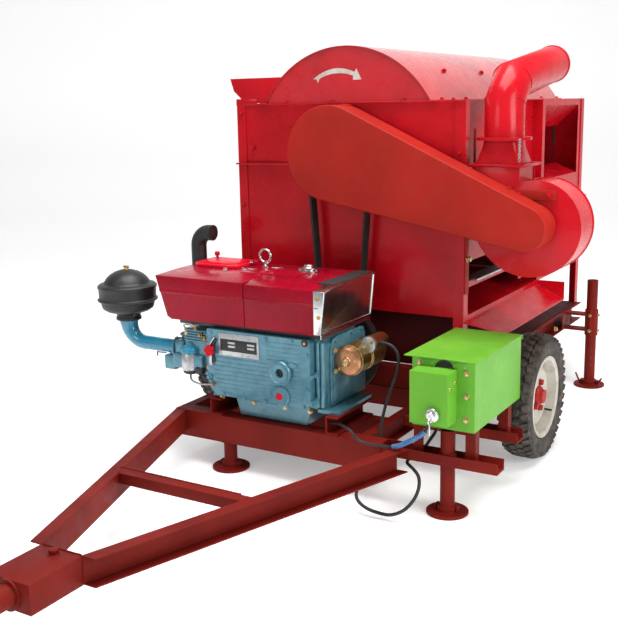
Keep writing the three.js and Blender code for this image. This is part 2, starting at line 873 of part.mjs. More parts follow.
const axisHole = clearRadius(drum.shaft / 2, coarse) + fit;
function endWall(sideY) {
  const y = sideY > 0 ? body.rear : body.front;
  const inner = y - sideY * body.panelInset;
  const outer = inner - sideY * sheet;
  const half = body.halfWidth - body.postWall;
  const wall = block(-half, half, Math.min(inner, outer), Math.max(inner, outer), body.bottom, body.top);
  const postEnd = y - sideY * body.post;
  const sill = block(-half, half, Math.min(inner, postEnd), Math.max(inner, postEnd), body.bottom,
    body.bottom + sheet);
  const hole = rodY(axisHole, y - body.post, y + body.post, 0, cover.axisZ, coarse);
  return cut(join(cornerPost(-1, sideY), cornerPost(1, sideY), wall, sill), hole);
}

function frontWall() {
  const y = body.front + body.panelInset;
  const shelfZ = (body.bottom + body.top * 2) / 3 + body.post;
  const shelfRight = -body.halfWidth / 2;
  const shelf = block(-body.halfWidth + body.post, shelfRight, body.front, y + sheet / 2, shelfZ,
    shelfZ + sheet);
  return join(endWall(-1), shelf);
}
part('front_wall', frontWall(), bodyRed());

function drumBearing(y0) {
  const bore = clearRadius(drum.shaft / 2, coarse) + fit;
  const half = bearing.boltSquare / 2;
  const flange = block(-half, half, y0, y0 + bearing.depth / 3, cover.axisZ - half, cover.axisZ + half);
  const housing = rodY(half - sheet, y0, y0 + bearing.depth, 0, cover.axisZ);
  const hole = rodY(bore, y0 - overrun, y0 + bearing.depth + overrun, 0, cover.axisZ, coarse);
  return cut(join(flange, housing), hole);
}
part('rear_wall', join(endWall(1), drumBearing(body.rear - body.panelInset - sheet / 2)), bodyRed());
part('drum_bearing_front', drumBearing(body.front + body.panelInset + sheet + fit), iron());

const wallFront = body.front + body.post + fit;
const wallRear = body.rear - body.post - fit;
const runnerZ = sieve.z - fit;
const lo = Math.min;
const hi = Math.max;
function sideWall(side) {
  const x0 = side * (body.halfWidth - body.panelInset);
  const x1 = x0 - side * sheet;
  const deckEdge = side * (coverHalf - cover.flange / 2);
  const wall = block(lo(x0, x1), hi(x0, x1), wallFront, wallRear, body.bottom, body.top);
  const deck = block(lo(x0, deckEdge), hi(x0, deckEdge), wallFront, wallRear, body.top - sheet, body.top);
  const inner = x1 - side * sieve.runnerWidth;
  const runner = block(lo(x1 + side, inner), hi(x1 + side, inner), wallFront, wallRear,
    runnerZ - sieve.runnerHeight, runnerZ);
  return { wall, deck, runner };
}

function leftWall() {
  const { wall, deck, runner } = sideWall(-1);
  const x = -body.halfWidth;
  const slot = block(x - overrun, x + body.panelInset + sheet + overrun, window.front, window.rear, runnerZ,
    window.top);
  const feedSlot = block(feed.lowerX, -coverHalf - cover.flange, feed.front + body.post, feed.rear,
    body.top - sheet - overrun, body.top + overrun);
  return cut(join(wall, deck, runner), slot, feedSlot);
}
part('left_wall', leftWall(), bodyRed());

// The right wall is open under the fan, set in above it, and holds the cob outlet behind an upright
function rightWall() {
  const { wall, deck, runner } = sideWall(1);
  const x = body.halfWidth;
  const panel = x - body.panelInset;
  const inside = panel - sheet;
  const doorRear = wallRear - body.post;
  const across = (y0, y1, z0, z1) => block(inside - overrun, x + overrun, y0, y1, z0, z1);
  const openings = [
    across(outlet.front, doorRear, outlet.bottom, outlet.top),
    across(fanRear + fan.wall, fanRear + fan.suctionDepth, fan.suctionBottom + fan.wall,
      fan.suctionTop - fan.wall),
    across(wallFront - overrun, sideDoor.rear, body.bottom - overrun, sideDoor.top),
    across(wallFront - overrun, tray.rear, body.bottom - overrun, sideDoor.slotTop),
    across(wallFront - overrun, outlet.front - recess.postWidth, recess.bottom, body.top - sheet),
  ];
  const recessRear = outlet.front - recess.postWidth;
  const setIn = block(recess.x - sheet, recess.x, wallFront, recessRear + sheet, recess.bottom - sheet,
    body.top);
  const shelf = block(recess.x - sheet, panel, wallFront, recessRear, recess.bottom - sheet, recess.bottom);
  const cheek = block(recess.x - sheet, panel, recessRear, recessRear + sheet, recess.bottom - sheet,
    body.top);
  const upright = block(inside, x, recessRear, outlet.front, sideDoor.slotTop, body.top);
  const throat = coverHalf + cover.flange;
  const ledge = alongY(shapeOf([
    [throat, outlet.bottom + body.post], [panel, outlet.bottom - sheet],
    [panel, outlet.bottom], [throat, outlet.bottom + body.post + sheet],
  ]), outlet.front, doorRear);
  const hood = alongY(shapeOf([
    [throat, outlet.top - outlet.hoodDrop], [panel, outlet.top], [panel, outlet.top + sheet],
    [throat, outlet.top - outlet.hoodDrop + sheet],
  ]), outlet.front, doorRear);
  const jamb = block(throat, panel, outlet.front - sheet, outlet.front, outlet.bottom - sheet,
    outlet.top + sheet);
  return join(cut(wall, ...openings), deck, runner, setIn, shelf, cheek, upright, ledge, hood, jamb);
}
part('right_wall', rightWall(), bodyRed());

// The half-round cover: an arc of sheet, end plates, lower flanges and the feed mouth

function arcBand(radius, wall, from, to, steps) {
  const shape = new THREE.Shape();
  shape.absarc(0, cover.axisZ, radius, from, to, false);
  shape.absarc(0, cover.axisZ, radius - wall, to, from, true);
  return [shape, steps];
}

const coverAngle = Math.asin((body.top - cover.axisZ) / cover.radius);
const coverBase = body.top + fit;
function drumCover() {
  const [band] = arcBand(cover.radius, sheet, coverAngle, Math.PI - coverAngle);
  const arc = alongY(band, body.front, body.rear, coarse + 2);
  const segment = new THREE.Shape();
  segment.absarc(0, cover.axisZ, cover.radius, coverAngle, Math.PI - coverAngle, false);
  const ends = [body.front, body.rear - sheet].map((y) => alongY(segment, y, y + sheet, coarse + 2));
  const edge = coverHalf - sheet;
  const flanges = [-1, 1].map((side) => {
    const a = side * edge;
    const b = side * (edge + cover.flange);
    return block(Math.min(a, b), Math.max(a, b), body.front, body.rear, coverBase, coverBase + sheet);
  });
  const mouth = block(-cover.radius, -coverHalf / 2, feed.front + body.post, feed.rear - body.post,
    feed.mouthBottom, feed.top - sheet);
  const below = block(-cover.radius, cover.radius, body.front - overrun, body.rear + overrun, cover.axisZ,
    coverBase);
  return cut(join(arc, ...ends, ...flanges), mouth, below);
}
part('drum_cover', drumCover(), bodyRed());

function feedHopper() {
  const lip = (x, z) => [x, z];
  const seat = coverBase + sheet;
  const outer = [lip(feed.outerX, feed.top), lip(feed.outerX + feed.curve / 2, (feed.top + seat) / 2),
    lip(feed.lowerX, seat + fit)];
  const inner = [lip(feed.lowerX + feed.wall, seat + fit),
    lip(feed.outerX + feed.curve / 2 + feed.wall, (feed.top + seat) / 2),
      lip(feed.outerX + feed.wall, feed.top)];
  const flare = alongY(shapeOf([...outer, ...inner]), feed.front, feed.rear);
  const edgeAt = (z) => -Math.sqrt((cover.radius + fit) ** 2 - (z - cover.axisZ) ** 2);
  const steps = 6;
  const coverSide = Array.from({ length: steps + 1 }, (_, k) => {
    const z = seat + fit + ((feed.top - seat - fit) * k) / steps;
    return [edgeAt(z) - runningGap / 2, z];
  });
  const floorLeft = -coverHalf - cover.flange - fit;
  const cheek = shapeOf([...outer, [coverSide[0][0], seat + fit], ...coverSide.slice(1)]);
  const cheeks = [feed.front, feed.rear - feed.wall].map((y) => alongY(cheek, y, y + feed.wall));
  const floor = block(feed.lowerX, -coverHalf - fit, feed.front, feed.rear, seat + fit,
    seat + fit + feed.wall);
  return join(flare, ...cheeks, cut(floor, block(floorLeft, 0, body.front, feed.front, 0, body.top)));
}
part('feed_hopper', feedHopper(), bodyRed());

// Concave: side plates, ribs and bars round the lower half of the drum

function concaveCage() {
  const z = cover.axisZ;
  const r = concave.radius;
  const wall = concave.wall;
  const top = body.top - sheet - fit;
  const pieces = [-1, 1].map((side) =>
    block(Math.min(side * r, side * (r + wall)), Math.max(side * r, side * (r + wall)), concave.front,
      concave.rear, z - concave.barWidth, top));
  const half = new THREE.Shape();
  half.absarc(0, z, r + wall, Math.PI, 2 * Math.PI, false);
  half.absarc(0, z, r, 2 * Math.PI, Math.PI, true);
  for (let k = 0; k < concave.ribs; k += 1) {
    const y = concave.front + ((concave.rear - concave.front - concave.ribWidth) * k) / (concave.ribs - 1);
    pieces.push(alongY(half, y, y + concave.ribWidth, coarse));
  }
  for (let k = 1; k < concave.bars; k += 1) {
    const angle = Math.PI + (Math.PI * k) / concave.bars;
    const bar = new THREE.BoxGeometry(wall * 2, concave.rear - concave.front, concave.barWidth);
    bar.translate(r + wall / 2, (concave.rear + concave.front) / 2, 0).rotateY(-angle);
    pieces.push(bar.translate(0, 0, z));
  }
  const outletCut = block(drum.toothReach, r + wall + overrun, outlet.front, wallRear - body.post,
    outlet.bottom + body.post, outlet.top - outlet.hoodDrop);
  return cut(join(...pieces), outletCut);
}
part('concave', concaveCage(), iron());

// Drum: shaft, tube, end discs and spiral rows of teeth

function drumRotor() {
  const pieces = [
    rodY(drum.shaft / 2, fanBelt.front - overrun, drum.shaftRear, 0, 0, coarse),
  ];
  const inside = drum.radius - drum.wall;
  const shell = cut(rodY(drum.radius, drum.front, drum.rear, 0, 0),
    rodY(inside, drum.front - overrun, drum.rear + overrun, 0, 0));
  const vent = (drum.shaft / 2 + inside) / 2;
  const vents = Array.from({ length: drum.vents }, (_, k) => {
    const angle = (2 * Math.PI * k) / drum.vents;
    return rodY(drum.ventRadius, drum.front - overrun, drum.rear + overrun, vent * Math.cos(angle),
      vent * Math.sin(angle), 6);
  });
  const disc = (y) => cut(rodY(drum.discRadius, y, y + drum.discThickness, 0, 0), ...vents);
  pieces.push(shell, disc(drum.front), disc(drum.rear - drum.discThickness));
  const pitch = (drum.rear - drum.front) / (drum.teeth + 1);
  for (let row = 0; row < drum.toothRows; row += 1) {
    for (let k = 1; k <= drum.teeth; k += 1) {
      const turn = (2 * Math.PI * (row + (drum.helixTurn_share * k) / drum.teeth)) / drum.toothRows;
      const length = drum.toothReach - drum.radius + overrun;
      const tooth = new THREE.BoxGeometry(drum.toothThickness, drum.toothWidth, length);
      tooth.translate(0, drum.front + pitch * k, drum.toothReach - length / 2);
      pieces.push(tooth.rotateY(turn));
    }
  }
  pieces.push(
    pulleyBody(pulley.drumRadius, mainBelt.front, mainBelt.width, 0, 0, drum.shaft / 4),
    pulleyBody(fanBelt.drumRadius, fanBelt.front, fanBelt.width, 0, 0, drum.shaft / 4),
    rodY(pulley.hub, fanBelt.front + fanBelt.width, mainBelt.front, 0, 0, coarse),
  );
  return join(...pieces).translate(0, 0, cover.axisZ);
}
part('drum_rotor', drumRotor(), iron());

// A flat-faced belt pulley with lips, on a shaft along y
function pulleyBody(radius, y0, width, x, z, bore) {
  const lip = pulley.lipWidth;
  const grip = radius - fit * 2;
  const profile = [
    [bore, 0], [grip + pulley.lip, 0], [grip + pulley.lip, lip], [grip, lip], [grip, lip + width],
    [grip + pulley.lip, lip + width], [grip + pulley.lip, 2 * lip + width], [bore, 2 * lip + width],
    [bore, 0],
  ];
  return turned(profile, round).rotateX(-Math.PI / 2).translate(x, y0 - lip, z);
}

// Sieve pan on runners, and the grain floor with its side tray

function sievePan() {
  const z = sieve.z;
  const pan = block(-sieve.halfWidth, sieve.reach, sieve.front, sieve.rear, z, z + sieve.depth);
  const inner = cut(pan, block(-sieve.halfWidth + sheet, sieve.halfWidth, sieve.front + sheet,
    sieve.rear - sheet, z + sheet, z + sieve.depth + overrun));
  const holes = [];
  const cellX = (2 * sieve.halfWidth - sieve.web) / sieve.holeRows;
  const cellY = (sieve.rear - sieve.front - sieve.web) / (sieve.holeColumns * 2);
  for (let i = 0; i < sieve.holeRows; i += 1) {
    for (let j = 0; j < sieve.holeColumns * 2; j += 1) {
      const x0 = -sieve.halfWidth + sieve.web + i * cellX;
      const y0 = sieve.front + sieve.web + j * cellY;
      holes.push(block(x0, x0 + cellX - sieve.web, y0, y0 + cellY - sieve.web, z - overrun, z + sheet * 2));
    }
  }
  const trimFront = block(sieve.halfWidth, sieve.reach + overrun, window.rear - sieve.travel * 2,
    sieve.rear + overrun, z - overrun, z + sieve.depth + overrun);
  const trimNear = block(sieve.halfWidth, sieve.reach + overrun, sieve.front - overrun,
    window.front + sieve.travel, z - overrun, z + sieve.depth + overrun);
  const shallow = block(sieve.halfWidth, sieve.reach + overrun, sieve.front - overrun, sieve.rear + overrun,
    z + sheet * 2, z + sieve.depth + overrun);
  return cut(inner, ...holes, trimFront, trimNear, shallow);
}
part('sieve_pan', sievePan(), brightSteel());

function grainTray() {
  const x0 = -body.halfWidth + body.panelInset + sheet + fit;
  const x1 = body.halfWidth + fit;
  const wallFace = body.halfWidth - body.panelInset - sheet - fit;
  const step = tray.innerZ - tray.step;
  const outline = shapeOf([
    [x0, tray.leftZ], [x0, tray.leftZ - sheet], [x1 - sheet, tray.innerZ - sheet],
    [x1 - sheet, step - sheet],
    [tray.outerX, tray.outerZ - sheet], [tray.outerX, tray.outerZ], [x1, step], [x1, tray.innerZ],
  ]);
  const plate = alongY(outline, tray.front, wallRear);
  const far = tray.outerX + overrun;
  const keepInside = block(wallFace, far, tray.rear, wallRear + overrun, 0, body.top);
  const keepBehind = block(x0 - overrun, x1 - sheet, tray.front - overrun, wallFront, 0, body.top);
  const postRoom = block(x0 - overrun, body.halfWidth + fit, tray.front - overrun, wallFront, 0, body.top);
  const slant = alongZ(shapeOf([
    [x1, tray.front - overrun], [far, tray.front - overrun], [far, tray.outerFront],
    [tray.outerX, tray.outerFront], [x1, tray.front],
  ]), 0, body.top);
  const endLip = block(x1 - sheet, tray.outerX, tray.rear - sheet, tray.rear, tray.outerZ - sheet,
    tray.innerZ);
  return cut(join(cut(plate, keepInside, keepBehind), endLip), slant, postRoom);
}
part('grain_tray', grainTray(), bodyRed());

// Belts as closed bands round two pulleys

function bandShape(x0, z0, r0, x1, z1, r1) {
  const distance = Math.hypot(x1 - x0, z1 - z0);
  const heading = Math.atan2(z1 - z0, x1 - x0);
  const lean = Math.acos((r0 - r1) / distance);
  const shape = new THREE.Shape();
  shape.absarc(x0, z0, r0, heading + lean, heading - lean + 2 * Math.PI, false);
  shape.absarc(x1, z1, r1, heading - lean, heading + lean, false);
  shape.closePath();
  return shape;
}

function beltBand(x0, z0, r0, x1, z1, r1, y0, width, thickness) {
  const inner0 = clearRadius(r0, round);
  const inner1 = clearRadius(r1, round);
  const outer = alongY(bandShape(x0, z0, inner0 + thickness, x1, z1, inner1 + thickness), y0, y0 + width);
  const hollow = alongY(bandShape(x0, z0, inner0, x1, z1, inner1), y0 - overrun, y0 + width + overrun);
  return cut(outer, hollow);
}
part('main_belts',
  beltBand(0, cover.axisZ, pulley.drumRadius, 0, crank.z, crank.pulleyRadius, mainBelt.front + fit,
    mainBelt.width - 2 * fit, mainBelt.thickness),
  rubber());
part('fan_belt',
  beltBand(0, cover.axisZ, fanBelt.drumRadius, fan.x, fan.z, fanBelt.fanRadius, fanBelt.front + fit,
    fanBelt.width - 2 * fit, fanBelt.thickness),
  rubber());

function beltGuard() {
  const panelFace = body.front + body.panelInset - fit;
  const bigZ = cover.axisZ + guard.rise;
  const outer = bandShape(0, bigZ, guard.bigRadius, fan.x, fan.z, guard.smallRadius);
  const inner = bandShape(0, bigZ, guard.bigRadius - guard.wall, fan.x, fan.z,
    guard.smallRadius - guard.wall);
  const shell = cut(alongY(outer, guard.front, guard.rear, coarse),
    alongY(inner, guard.front + guard.wall, guard.rear + overrun, coarse));
  const gap = block(guard.beltGapLeft, guard.beltGapRight, guard.front + 8 * guard.wall,
    guard.rear + overrun, crank.z, cover.axisZ);
  const lugs = [Math.PI * 0.75, Math.PI * 1.1, Math.PI * 0.45].map((angle) => {
    const x = guard.bigRadius * Math.cos(angle);
    const z = bigZ + guard.bigRadius * Math.sin(angle);
    const lug = block(-guard.lugWidth / 2, guard.lugWidth / 2, guard.rear - guard.lugWidth, panelFace,
      -guard.wall, guard.wall / 3);
    return lug.rotateY(Math.PI / 2 - angle).translate(x, 0, z);
  });
  return join(cut(shell, gap), ...lugs);
}
part('belt_guard', beltGuard(), guardRed());

// Fan casing: a scroll with its upright outlet, the suction duct and the square-to-round collar

const ductRadius = fan.x - fan.ductLeft;
function scrollShape(inset) {
  const shape = new THREE.Shape();
  const right = fan.ductRight - inset;
  const left = fan.ductLeft + inset;
  const start = Math.acos((right - fan.x) / (fan.scroll - inset));
  const steps = round;
  const span = Math.PI + start;
  const top = inset > 0 ? fan.ductTop + overrun : fan.ductTop;
  shape.moveTo(right, top);
  for (let k = 0; k <= steps; k += 1) {
    const angle = start - (span * k) / steps;
    const grow = (ductRadius - fan.scroll) * (k / steps) ** 3;
    const radius = fan.scroll + grow - inset;
    shape.lineTo(fan.x + radius * Math.cos(angle), fan.z + radius * Math.sin(angle));
  }
  shape.lineTo(left, top);
  shape.closePath();
  return shape;
}

// The ring of points on a rectangle or a circle, for the collar that joins them
function ringPoints(halfX, halfY, circle, x, y, z) {
  const sides = pipe.sides;
  return Array.from({ length: sides }, (_, k) => {
    const angle = (2 * Math.PI * (k + 0.5)) / sides;
    const c = Math.cos(angle);
    const s = Math.sin(angle);
    const scale = circle ? halfX : Math.min(halfX / Math.abs(c), halfY / Math.abs(s));
    return new THREE.Vector3(x + c * scale, y + s * scale, z);
  });
}

const ductX = (fan.ductLeft + fan.ductRight) / 2;
const ductY = fan.front + fan.width / 2;
function fanCasing() {
  const wall = fan.wall;
  const scroll = alongY(scrollShape(0), fan.front, fanRear);
  const scrollHollow = alongY(scrollShape(wall), fan.front + wall, fanRear - wall);
  const x0 = body.halfWidth - body.panelInset + fit;
  const rear = fanRear + fan.suctionDepth;
  const suction = block(x0, fan.suctionRight, fanRear - wall, rear, fan.suctionBottom, fan.suctionTop);
  const suctionHollow = block(x0 - overrun, fan.suctionRight - wall, fanRear, rear - wall,
    fan.suctionBottom + wall, fan.suctionTop - wall);
  const inlet = rodY(fan.inletRadius, fanRear - wall - overrun, fanRear + overrun, fan.x, fan.z);
  const halfX = (fan.ductRight - fan.ductLeft) / 2;
  const halfY = fan.width / 2;
  const collarBase = fan.ductTop + fan.flangeThickness;
  const square = block(fan.ductLeft - fan.flange, fan.ductRight + fan.flange, fan.front - wall * 2,
    fanRear + fan.flange, fan.ductTop - fan.flangeThickness, collarBase);
  const rings = (inset, under, over) => [
    ringPoints(halfX - inset, halfY - inset, false, ductX, ductY, fan.ductTop - under),
    ringPoints(halfX - inset, halfY - inset, false, ductX, ductY, collarBase + wall),
    ringPoints(pipe.diameter / 2 - inset, 0, true, ductX, ductY, pipe.collarTop - pipe.flangeThickness),
    ringPoints(pipe.diameter / 2 - inset, 0, true, ductX, ductY, pipe.collarTop + over),
  ];
  const collar = skin(rings(0, 0, 0));
  const collarHollow = skin(rings(wall, overrun * 3, overrun));
  const topRing = rodZ(pipe.flangeDiameter / 2, pipe.collarTop - pipe.flangeThickness, pipe.collarTop,
    ductX, ductY, pipe.sides);
  const bearingFront = fan.front - fan.bearingDepth;
  const housing = rodY(fan.bearing / 2, bearingFront, fan.front + wall / 2, fan.x, fan.z);
  const foot = block(fan.x - fan.bearing, fan.x + fan.bearing, fan.front - fan.bearingDepth / 3,
    fan.front + wall / 2, fan.z - fan.bearing / 3, fan.z + fan.bearing / 3);
  const shaftHole = rodY(fan.shaftHole / 2, bearingFront - overrun, fan.front + wall + overrun, fan.x,
    fan.z);
  const brace = block(0, fan.braceLength, fan.front - 2 * wall, body.front - fit, -fan.braceWidth / 2,
    fan.braceWidth / 2)
    .rotateY(fan.braceAngle)
    .translate(body.halfWidth - body.post / 2, 0, fan.braceZ);
  const shell = join(scroll, suction, square, collar, topRing, housing, foot, brace);
  return cut(shell, scrollHollow, suctionHollow, inlet, shaftHole, collarHollow);
}
part('fan_casing', fanCasing(), bodyRed());

function fanImpeller() {
  const middle = fan.front + fan.width / 2;
  const half = fan.bladeWidth / 2;
  const shaftFront = fanBelt.front - overrun;
  const pieces = [
    rodY(fan.shaft / 2, shaftFront, fanRear - runningGap * 4, 0, 0, coarse),
    rodY(fan.bladeRadius / 2, middle - half, middle - half + fan.wall * 2, 0, 0, coarse),
    rodY(fan.shaft, middle - half, middle + half, 0, 0, coarse),
  ];
  for (let k = 0; k < fan.blades; k += 1) {
    const blade = block(-fan.wall, fan.wall, middle - half, middle + half, fan.shaft / 2, fan.bladeRadius);
    pieces.push(blade.rotateY((2 * Math.PI * k) / fan.blades));
  }
  const wheelBody = join(...pieces).translate(fan.x, 0, fan.z);
  const drive = pulleyBody(fanBelt.fanRadius, fanBelt.front, fanBelt.width, fan.x, fan.z, fan.shaft / 4);
  return join(wheelBody, drive);
}
part('fan_impeller', fanImpeller(), iron());

function dischargePipe() {
  const at = (dy, z) => new THREE.Vector3(ductX, ductY + dy, z);
  const base = pipe.collarTop + fit;
  const knee = pipe.kneeZ;
  const gore = at(pipe.goreRun, knee + pipe.goreRise);
  const end = at(pipe.goreRun + pipe.run, knee + pipe.goreRise + pipe.rise);
  const path = [at(0, base), at(0, knee), gore, end];
  const rod = mitredRod(path, pipe.diameter / 2, pipe.sides);
  const lead = end.clone().sub(gore).normalize().multiplyScalar(overrun);
  const hollow = mitredRod([at(0, base - overrun), at(0, knee), gore, end.clone().add(lead)],
    pipe.diameter / 2 - pipe.wall, pipe.sides);
  const ring = rodZ(pipe.flangeDiameter / 2, base, base + pipe.flangeThickness, ductX, ductY, pipe.sides);
  return cut(join(rod, ring), hollow);
}
part('discharge_pipe', dischargePipe(), bodyRed());

// Engine

const bearingRadius = crank.shaft;
function crankcase() {
  const c = engine.chamfer;
  const outline = shapeOf([
    [engine.left, engine.bottom + c], [engine.left, engine.top - c], [engine.left + c, engine.top],
    [engine.right - c, engine.top], [engine.right, engine.top - c], [engine.right, engine.bottom + 2 * c],
    [engine.right - c, engine.bottom], [engine.left + c, engine.bottom],
  ]);
  const core = alongY(outline, engine.front, engine.rear - 2 * c);
  const rearBoss = rodY(bearingRadius * 2, engine.rear - 3 * c, engine.rear, 0, crank.z, round);
  const sumpLeft = engine.left + engine.sumpInset;
  const sumpRight = engine.right - engine.sumpInset / 2;
  const sump = alongY(shapeOf([
    [sumpLeft - c, engine.bottom + c], [sumpLeft, engine.sumpBottom], [sumpRight - c, engine.sumpBottom],
    [sumpRight, engine.bottom + c],
  ]), engine.front + c / 2, lower.secondCross - 2 * overrun);
  const footSpans = [
    [engineRail.leftX, engineRail.leftX + engine.footWidth],
    [engine.right - c, engineRail.rightX + engine.footWidth],
  ];
  const feet = footSpans.map(([x0, x1]) =>
    block(x0, x1, engine.front, railRear, engineBase + fit, engineBase + fit + engine.footThickness));
  const webs = feet.map((_, i) => {
    const x = i ? engine.right - c : engine.left;
    return block(x, x + c, engine.front + c, railRear - c, engineBase + fit, engine.bottom + 2 * c);
  });
  const shaftRoom = rodY(clearRadius(crank.shaft / 2, coarse) + fit, engine.rear - c,
    engine.rear + overrun, 0, crank.z, coarse);
  const seat = alongY(shapeOf([
    [engine.left, engine.bottom + c], [engineRail.leftX, engineBase + fit],
    [engineRail.leftX + engine.footWidth,
      engineBase + fit], [engine.left + 2 * c, engine.bottom + c],
  ]), engine.front + c, railRear - c);
  const w = engine.wall;
  const inside = block(engine.left + c + w, engine.right - c - w, engine.front + w, engine.rear - 2 * c - w,
    engine.bottom + w, engine.top - c - w);
  const shaftWay = rodY(crank.shaft / 2, engine.rear - 3 * c - w, engine.rear - c + overrun, 0, crank.z,
    coarse);
  return cut(join(core, rearBoss, sump, seat, ...feet, ...webs), shaftRoom, inside, shaftWay);
}
part('crankcase', crankcase(), engineBlue());

function gearCase() {
  const k = gearCover.corner;
  const y1 = engine.front - fit;
  const y0 = y1 - gearCover.thickness;
  const outline = shapeOf([
    [gearCover.left, gearCover.bottom + k], [gearCover.left, gearCover.top],
    [gearCover.right - k / 3, gearCover.top],
    [gearCover.right, gearCover.top - k / 3], [gearCover.right, gearCover.bottom + k / 2],
    [gearCover.right - k / 2, gearCover.bottom], [gearCover.left + k, gearCover.bottom],
  ]);
  const plate = alongY(outline, y0, y1);
  const crankBoss = rodY(boss.radius, y0 - boss.height, y1, boss.x, boss.z);
  const dimple = rodY(boss.radius * 0.45, y0 - boss.height - overrun, y0, boss.x, boss.z);
  const plug = rodY(boss.plugRadius, y0 - boss.plugHeight, y1, boss.plugX, boss.plugZ);
  return cut(join(plate, crankBoss, plug), dimple);
}
part('gear_cover', gearCase(), engineBlue());

function cylinderHead() {
  const x1 = engine.left - fit;
  const core = block(head.left, x1, head.front, head.rear, head.bottom, head.top);
  const rocker = block(head.coverLeft, head.left + sheet, head.front + head.filterRadius,
    head.rear - head.filterRadius, head.coverBottom, head.coverTop);
  const pump = block(head.pumpLeft + head.filterRadius, x1 - head.filterRadius, head.pumpFront,
    head.front + sheet, head.filterBottom + head.filterRadius / 2, head.filterTop - head.filterRadius);
  const filter = rodZ(head.filterRadius, head.filterBottom, head.filterTop,
    head.pumpLeft + head.filterRadius, head.pumpFront + head.filterRadius);
  const port = block(exhaust.x - exhaust.diameter / 2, head.left + sheet, exhaust.y - exhaust.diameter / 2,
    exhaust.y + exhaust.diameter / 2, exhaust.z - exhaust.diameter / 2, exhaust.z - fit);
  const bridge = block(head.left, head.left + exhaust.diameter, head.rear - sheet, exhaust.y,
    exhaust.z - exhaust.diameter / 2, exhaust.z - fit);
  return join(core, rocker, pump, filter, port, bridge);
}
part('cylinder_head', cylinderHead(), engineBlue());

function fuelTank() {
  const e = tank.edge;
  const outline = shapeOf([
    [tank.bottomLeft, tankBottom], [tank.topLeft, tank.top - e], [tank.topLeft + e, tank.top],
    [tank.topRight, tank.top], [tank.bottomRight, tankBottom],
  ]);
  const shroud = alongY(outline, tank.front, tank.rear);
  const seam = block(tank.seamX, tank.seamX + tank.seam, tank.front - overrun, tank.front + tank.seam,
    tankBottom - overrun, tank.top + overrun);
  const lid = alongZ(shapeOf([
    [tank.lidX - tank.lidLength / 2, tank.lidY - tank.lidWidth / 4],
    [tank.lidX - tank.lidLength / 4, tank.lidY - tank.lidWidth / 2],
    [tank.lidX + tank.lidLength / 4, tank.lidY - tank.lidWidth / 2],
    [tank.lidX + tank.lidLength / 2, tank.lidY - tank.lidWidth / 4],
    [tank.lidX + tank.lidLength / 2, tank.lidY + tank.lidWidth / 2],
    [tank.lidX - tank.lidLength / 2, tank.lidY + tank.lidWidth / 2],
  ]), tank.top - sheet, tank.top + tank.lidHeight);
  const neck = rodZ(tank.neckRadius, tank.top - sheet, tank.top + tank.neckHeight, tank.capX, tank.capY);
  const stem = rodZ(tank.eyeBar / 2, tank.top - sheet, tank.top + tank.eyeStem + tank.eyeBar / 2,
    tank.eyeX, tank.eyeY, 6);
  const eye = new THREE.TorusGeometry(tank.eyeRadius, tank.eyeBar / 2, 6, coarse + 2)
    .rotateX(Math.PI / 2)
    .translate(tank.eyeX, tank.eyeY, tank.top + tank.eyeStem + tank.eyeRadius);
  const w = tank.wall;
  const inside = alongY(shapeOf([
    [tank.bottomLeft + w, tankBottom + w], [tank.topLeft + 2 * w, tank.top - w],
    [tank.topRight - w, tank.top - w], [tank.bottomRight - w, tankBottom + w],
  ]), tank.front + tank.seam + w, tank.rear - w);
  const bore = rodZ(tank.neckRadius - w, tank.top - 2 * w, tank.top + tank.neckHeight + overrun, tank.capX,
    tank.capY, coarse);
  return cut(join(cut(shroud, seam), lid, neck, stem, eye), inside, bore);
}
part('fuel_tank', fuelTank(), tankRed());

function fillerCap() {
  const z = tank.top + tank.neckHeight + fit;
  return rodZ(cap.radius, z, z + cap.height, tank.capX, tank.capY);
}
part('filler_cap', fillerCap(), brightSteel());

function airCleaner() {
  const r = cleaner.radius;
  const height = cleaner.top - cleaner.bottom;
  const domeSteps = 4;
  const dome = Array.from({ length: domeSteps }, (_, k) => {
    const angle = (Math.PI / 2) * (k / domeSteps);
    return [r * 0.72 * Math.cos(angle), height * 0.66 + height * 0.3 * Math.sin(angle)];
  });
  const profile = [
    [0, 0], [cleaner.neck, 0], [cleaner.neck, height * 0.1], [r * 0.86, height * 0.16],
    [r * 0.92, height * 0.36],
    [r, height * 0.38], [r, height * 0.43], [r * 0.96, height * 0.45], [r * 0.96, height * 0.6],
    ...dome, [r * 0.1, height * 0.96], [r * 0.1, height], [0, height],
  ];
  return turned(profile, round).translate(cleaner.x, cleaner.y, cleaner.bottom);
}
part('air_cleaner', airCleaner(), blackPaint());

// A round bar or tube swept along a smooth path
function sweep(points, radius, sides, steps) {
  const path = new THREE.CatmullRomCurve3(points, false, 'centripetal');
  const circle = shapeOf(Array.from({ length: sides }, (_, k) => {
    const angle = (2 * Math.PI * k) / sides;
    return [radius * Math.cos(angle), radius * Math.sin(angle)];
  }));
  return new THREE.ExtrudeGeometry(circle, { steps, bevelEnabled: false, extrudePath: path });
}

// A quarter bend of points in the plane of two directions
function bendPoints(corner, from, to, radius, count = 5) {
  return Array.from({ length: count + 1 }, (_, k) => {
    const angle = (Math.PI / 2) * (k / count);
    const point = corner.clone();
    point.addScaledVector(from, radius * (1 - Math.sin(angle)));
    return point.addScaledVector(to, radius * (1 - Math.cos(angle)));
  });
}

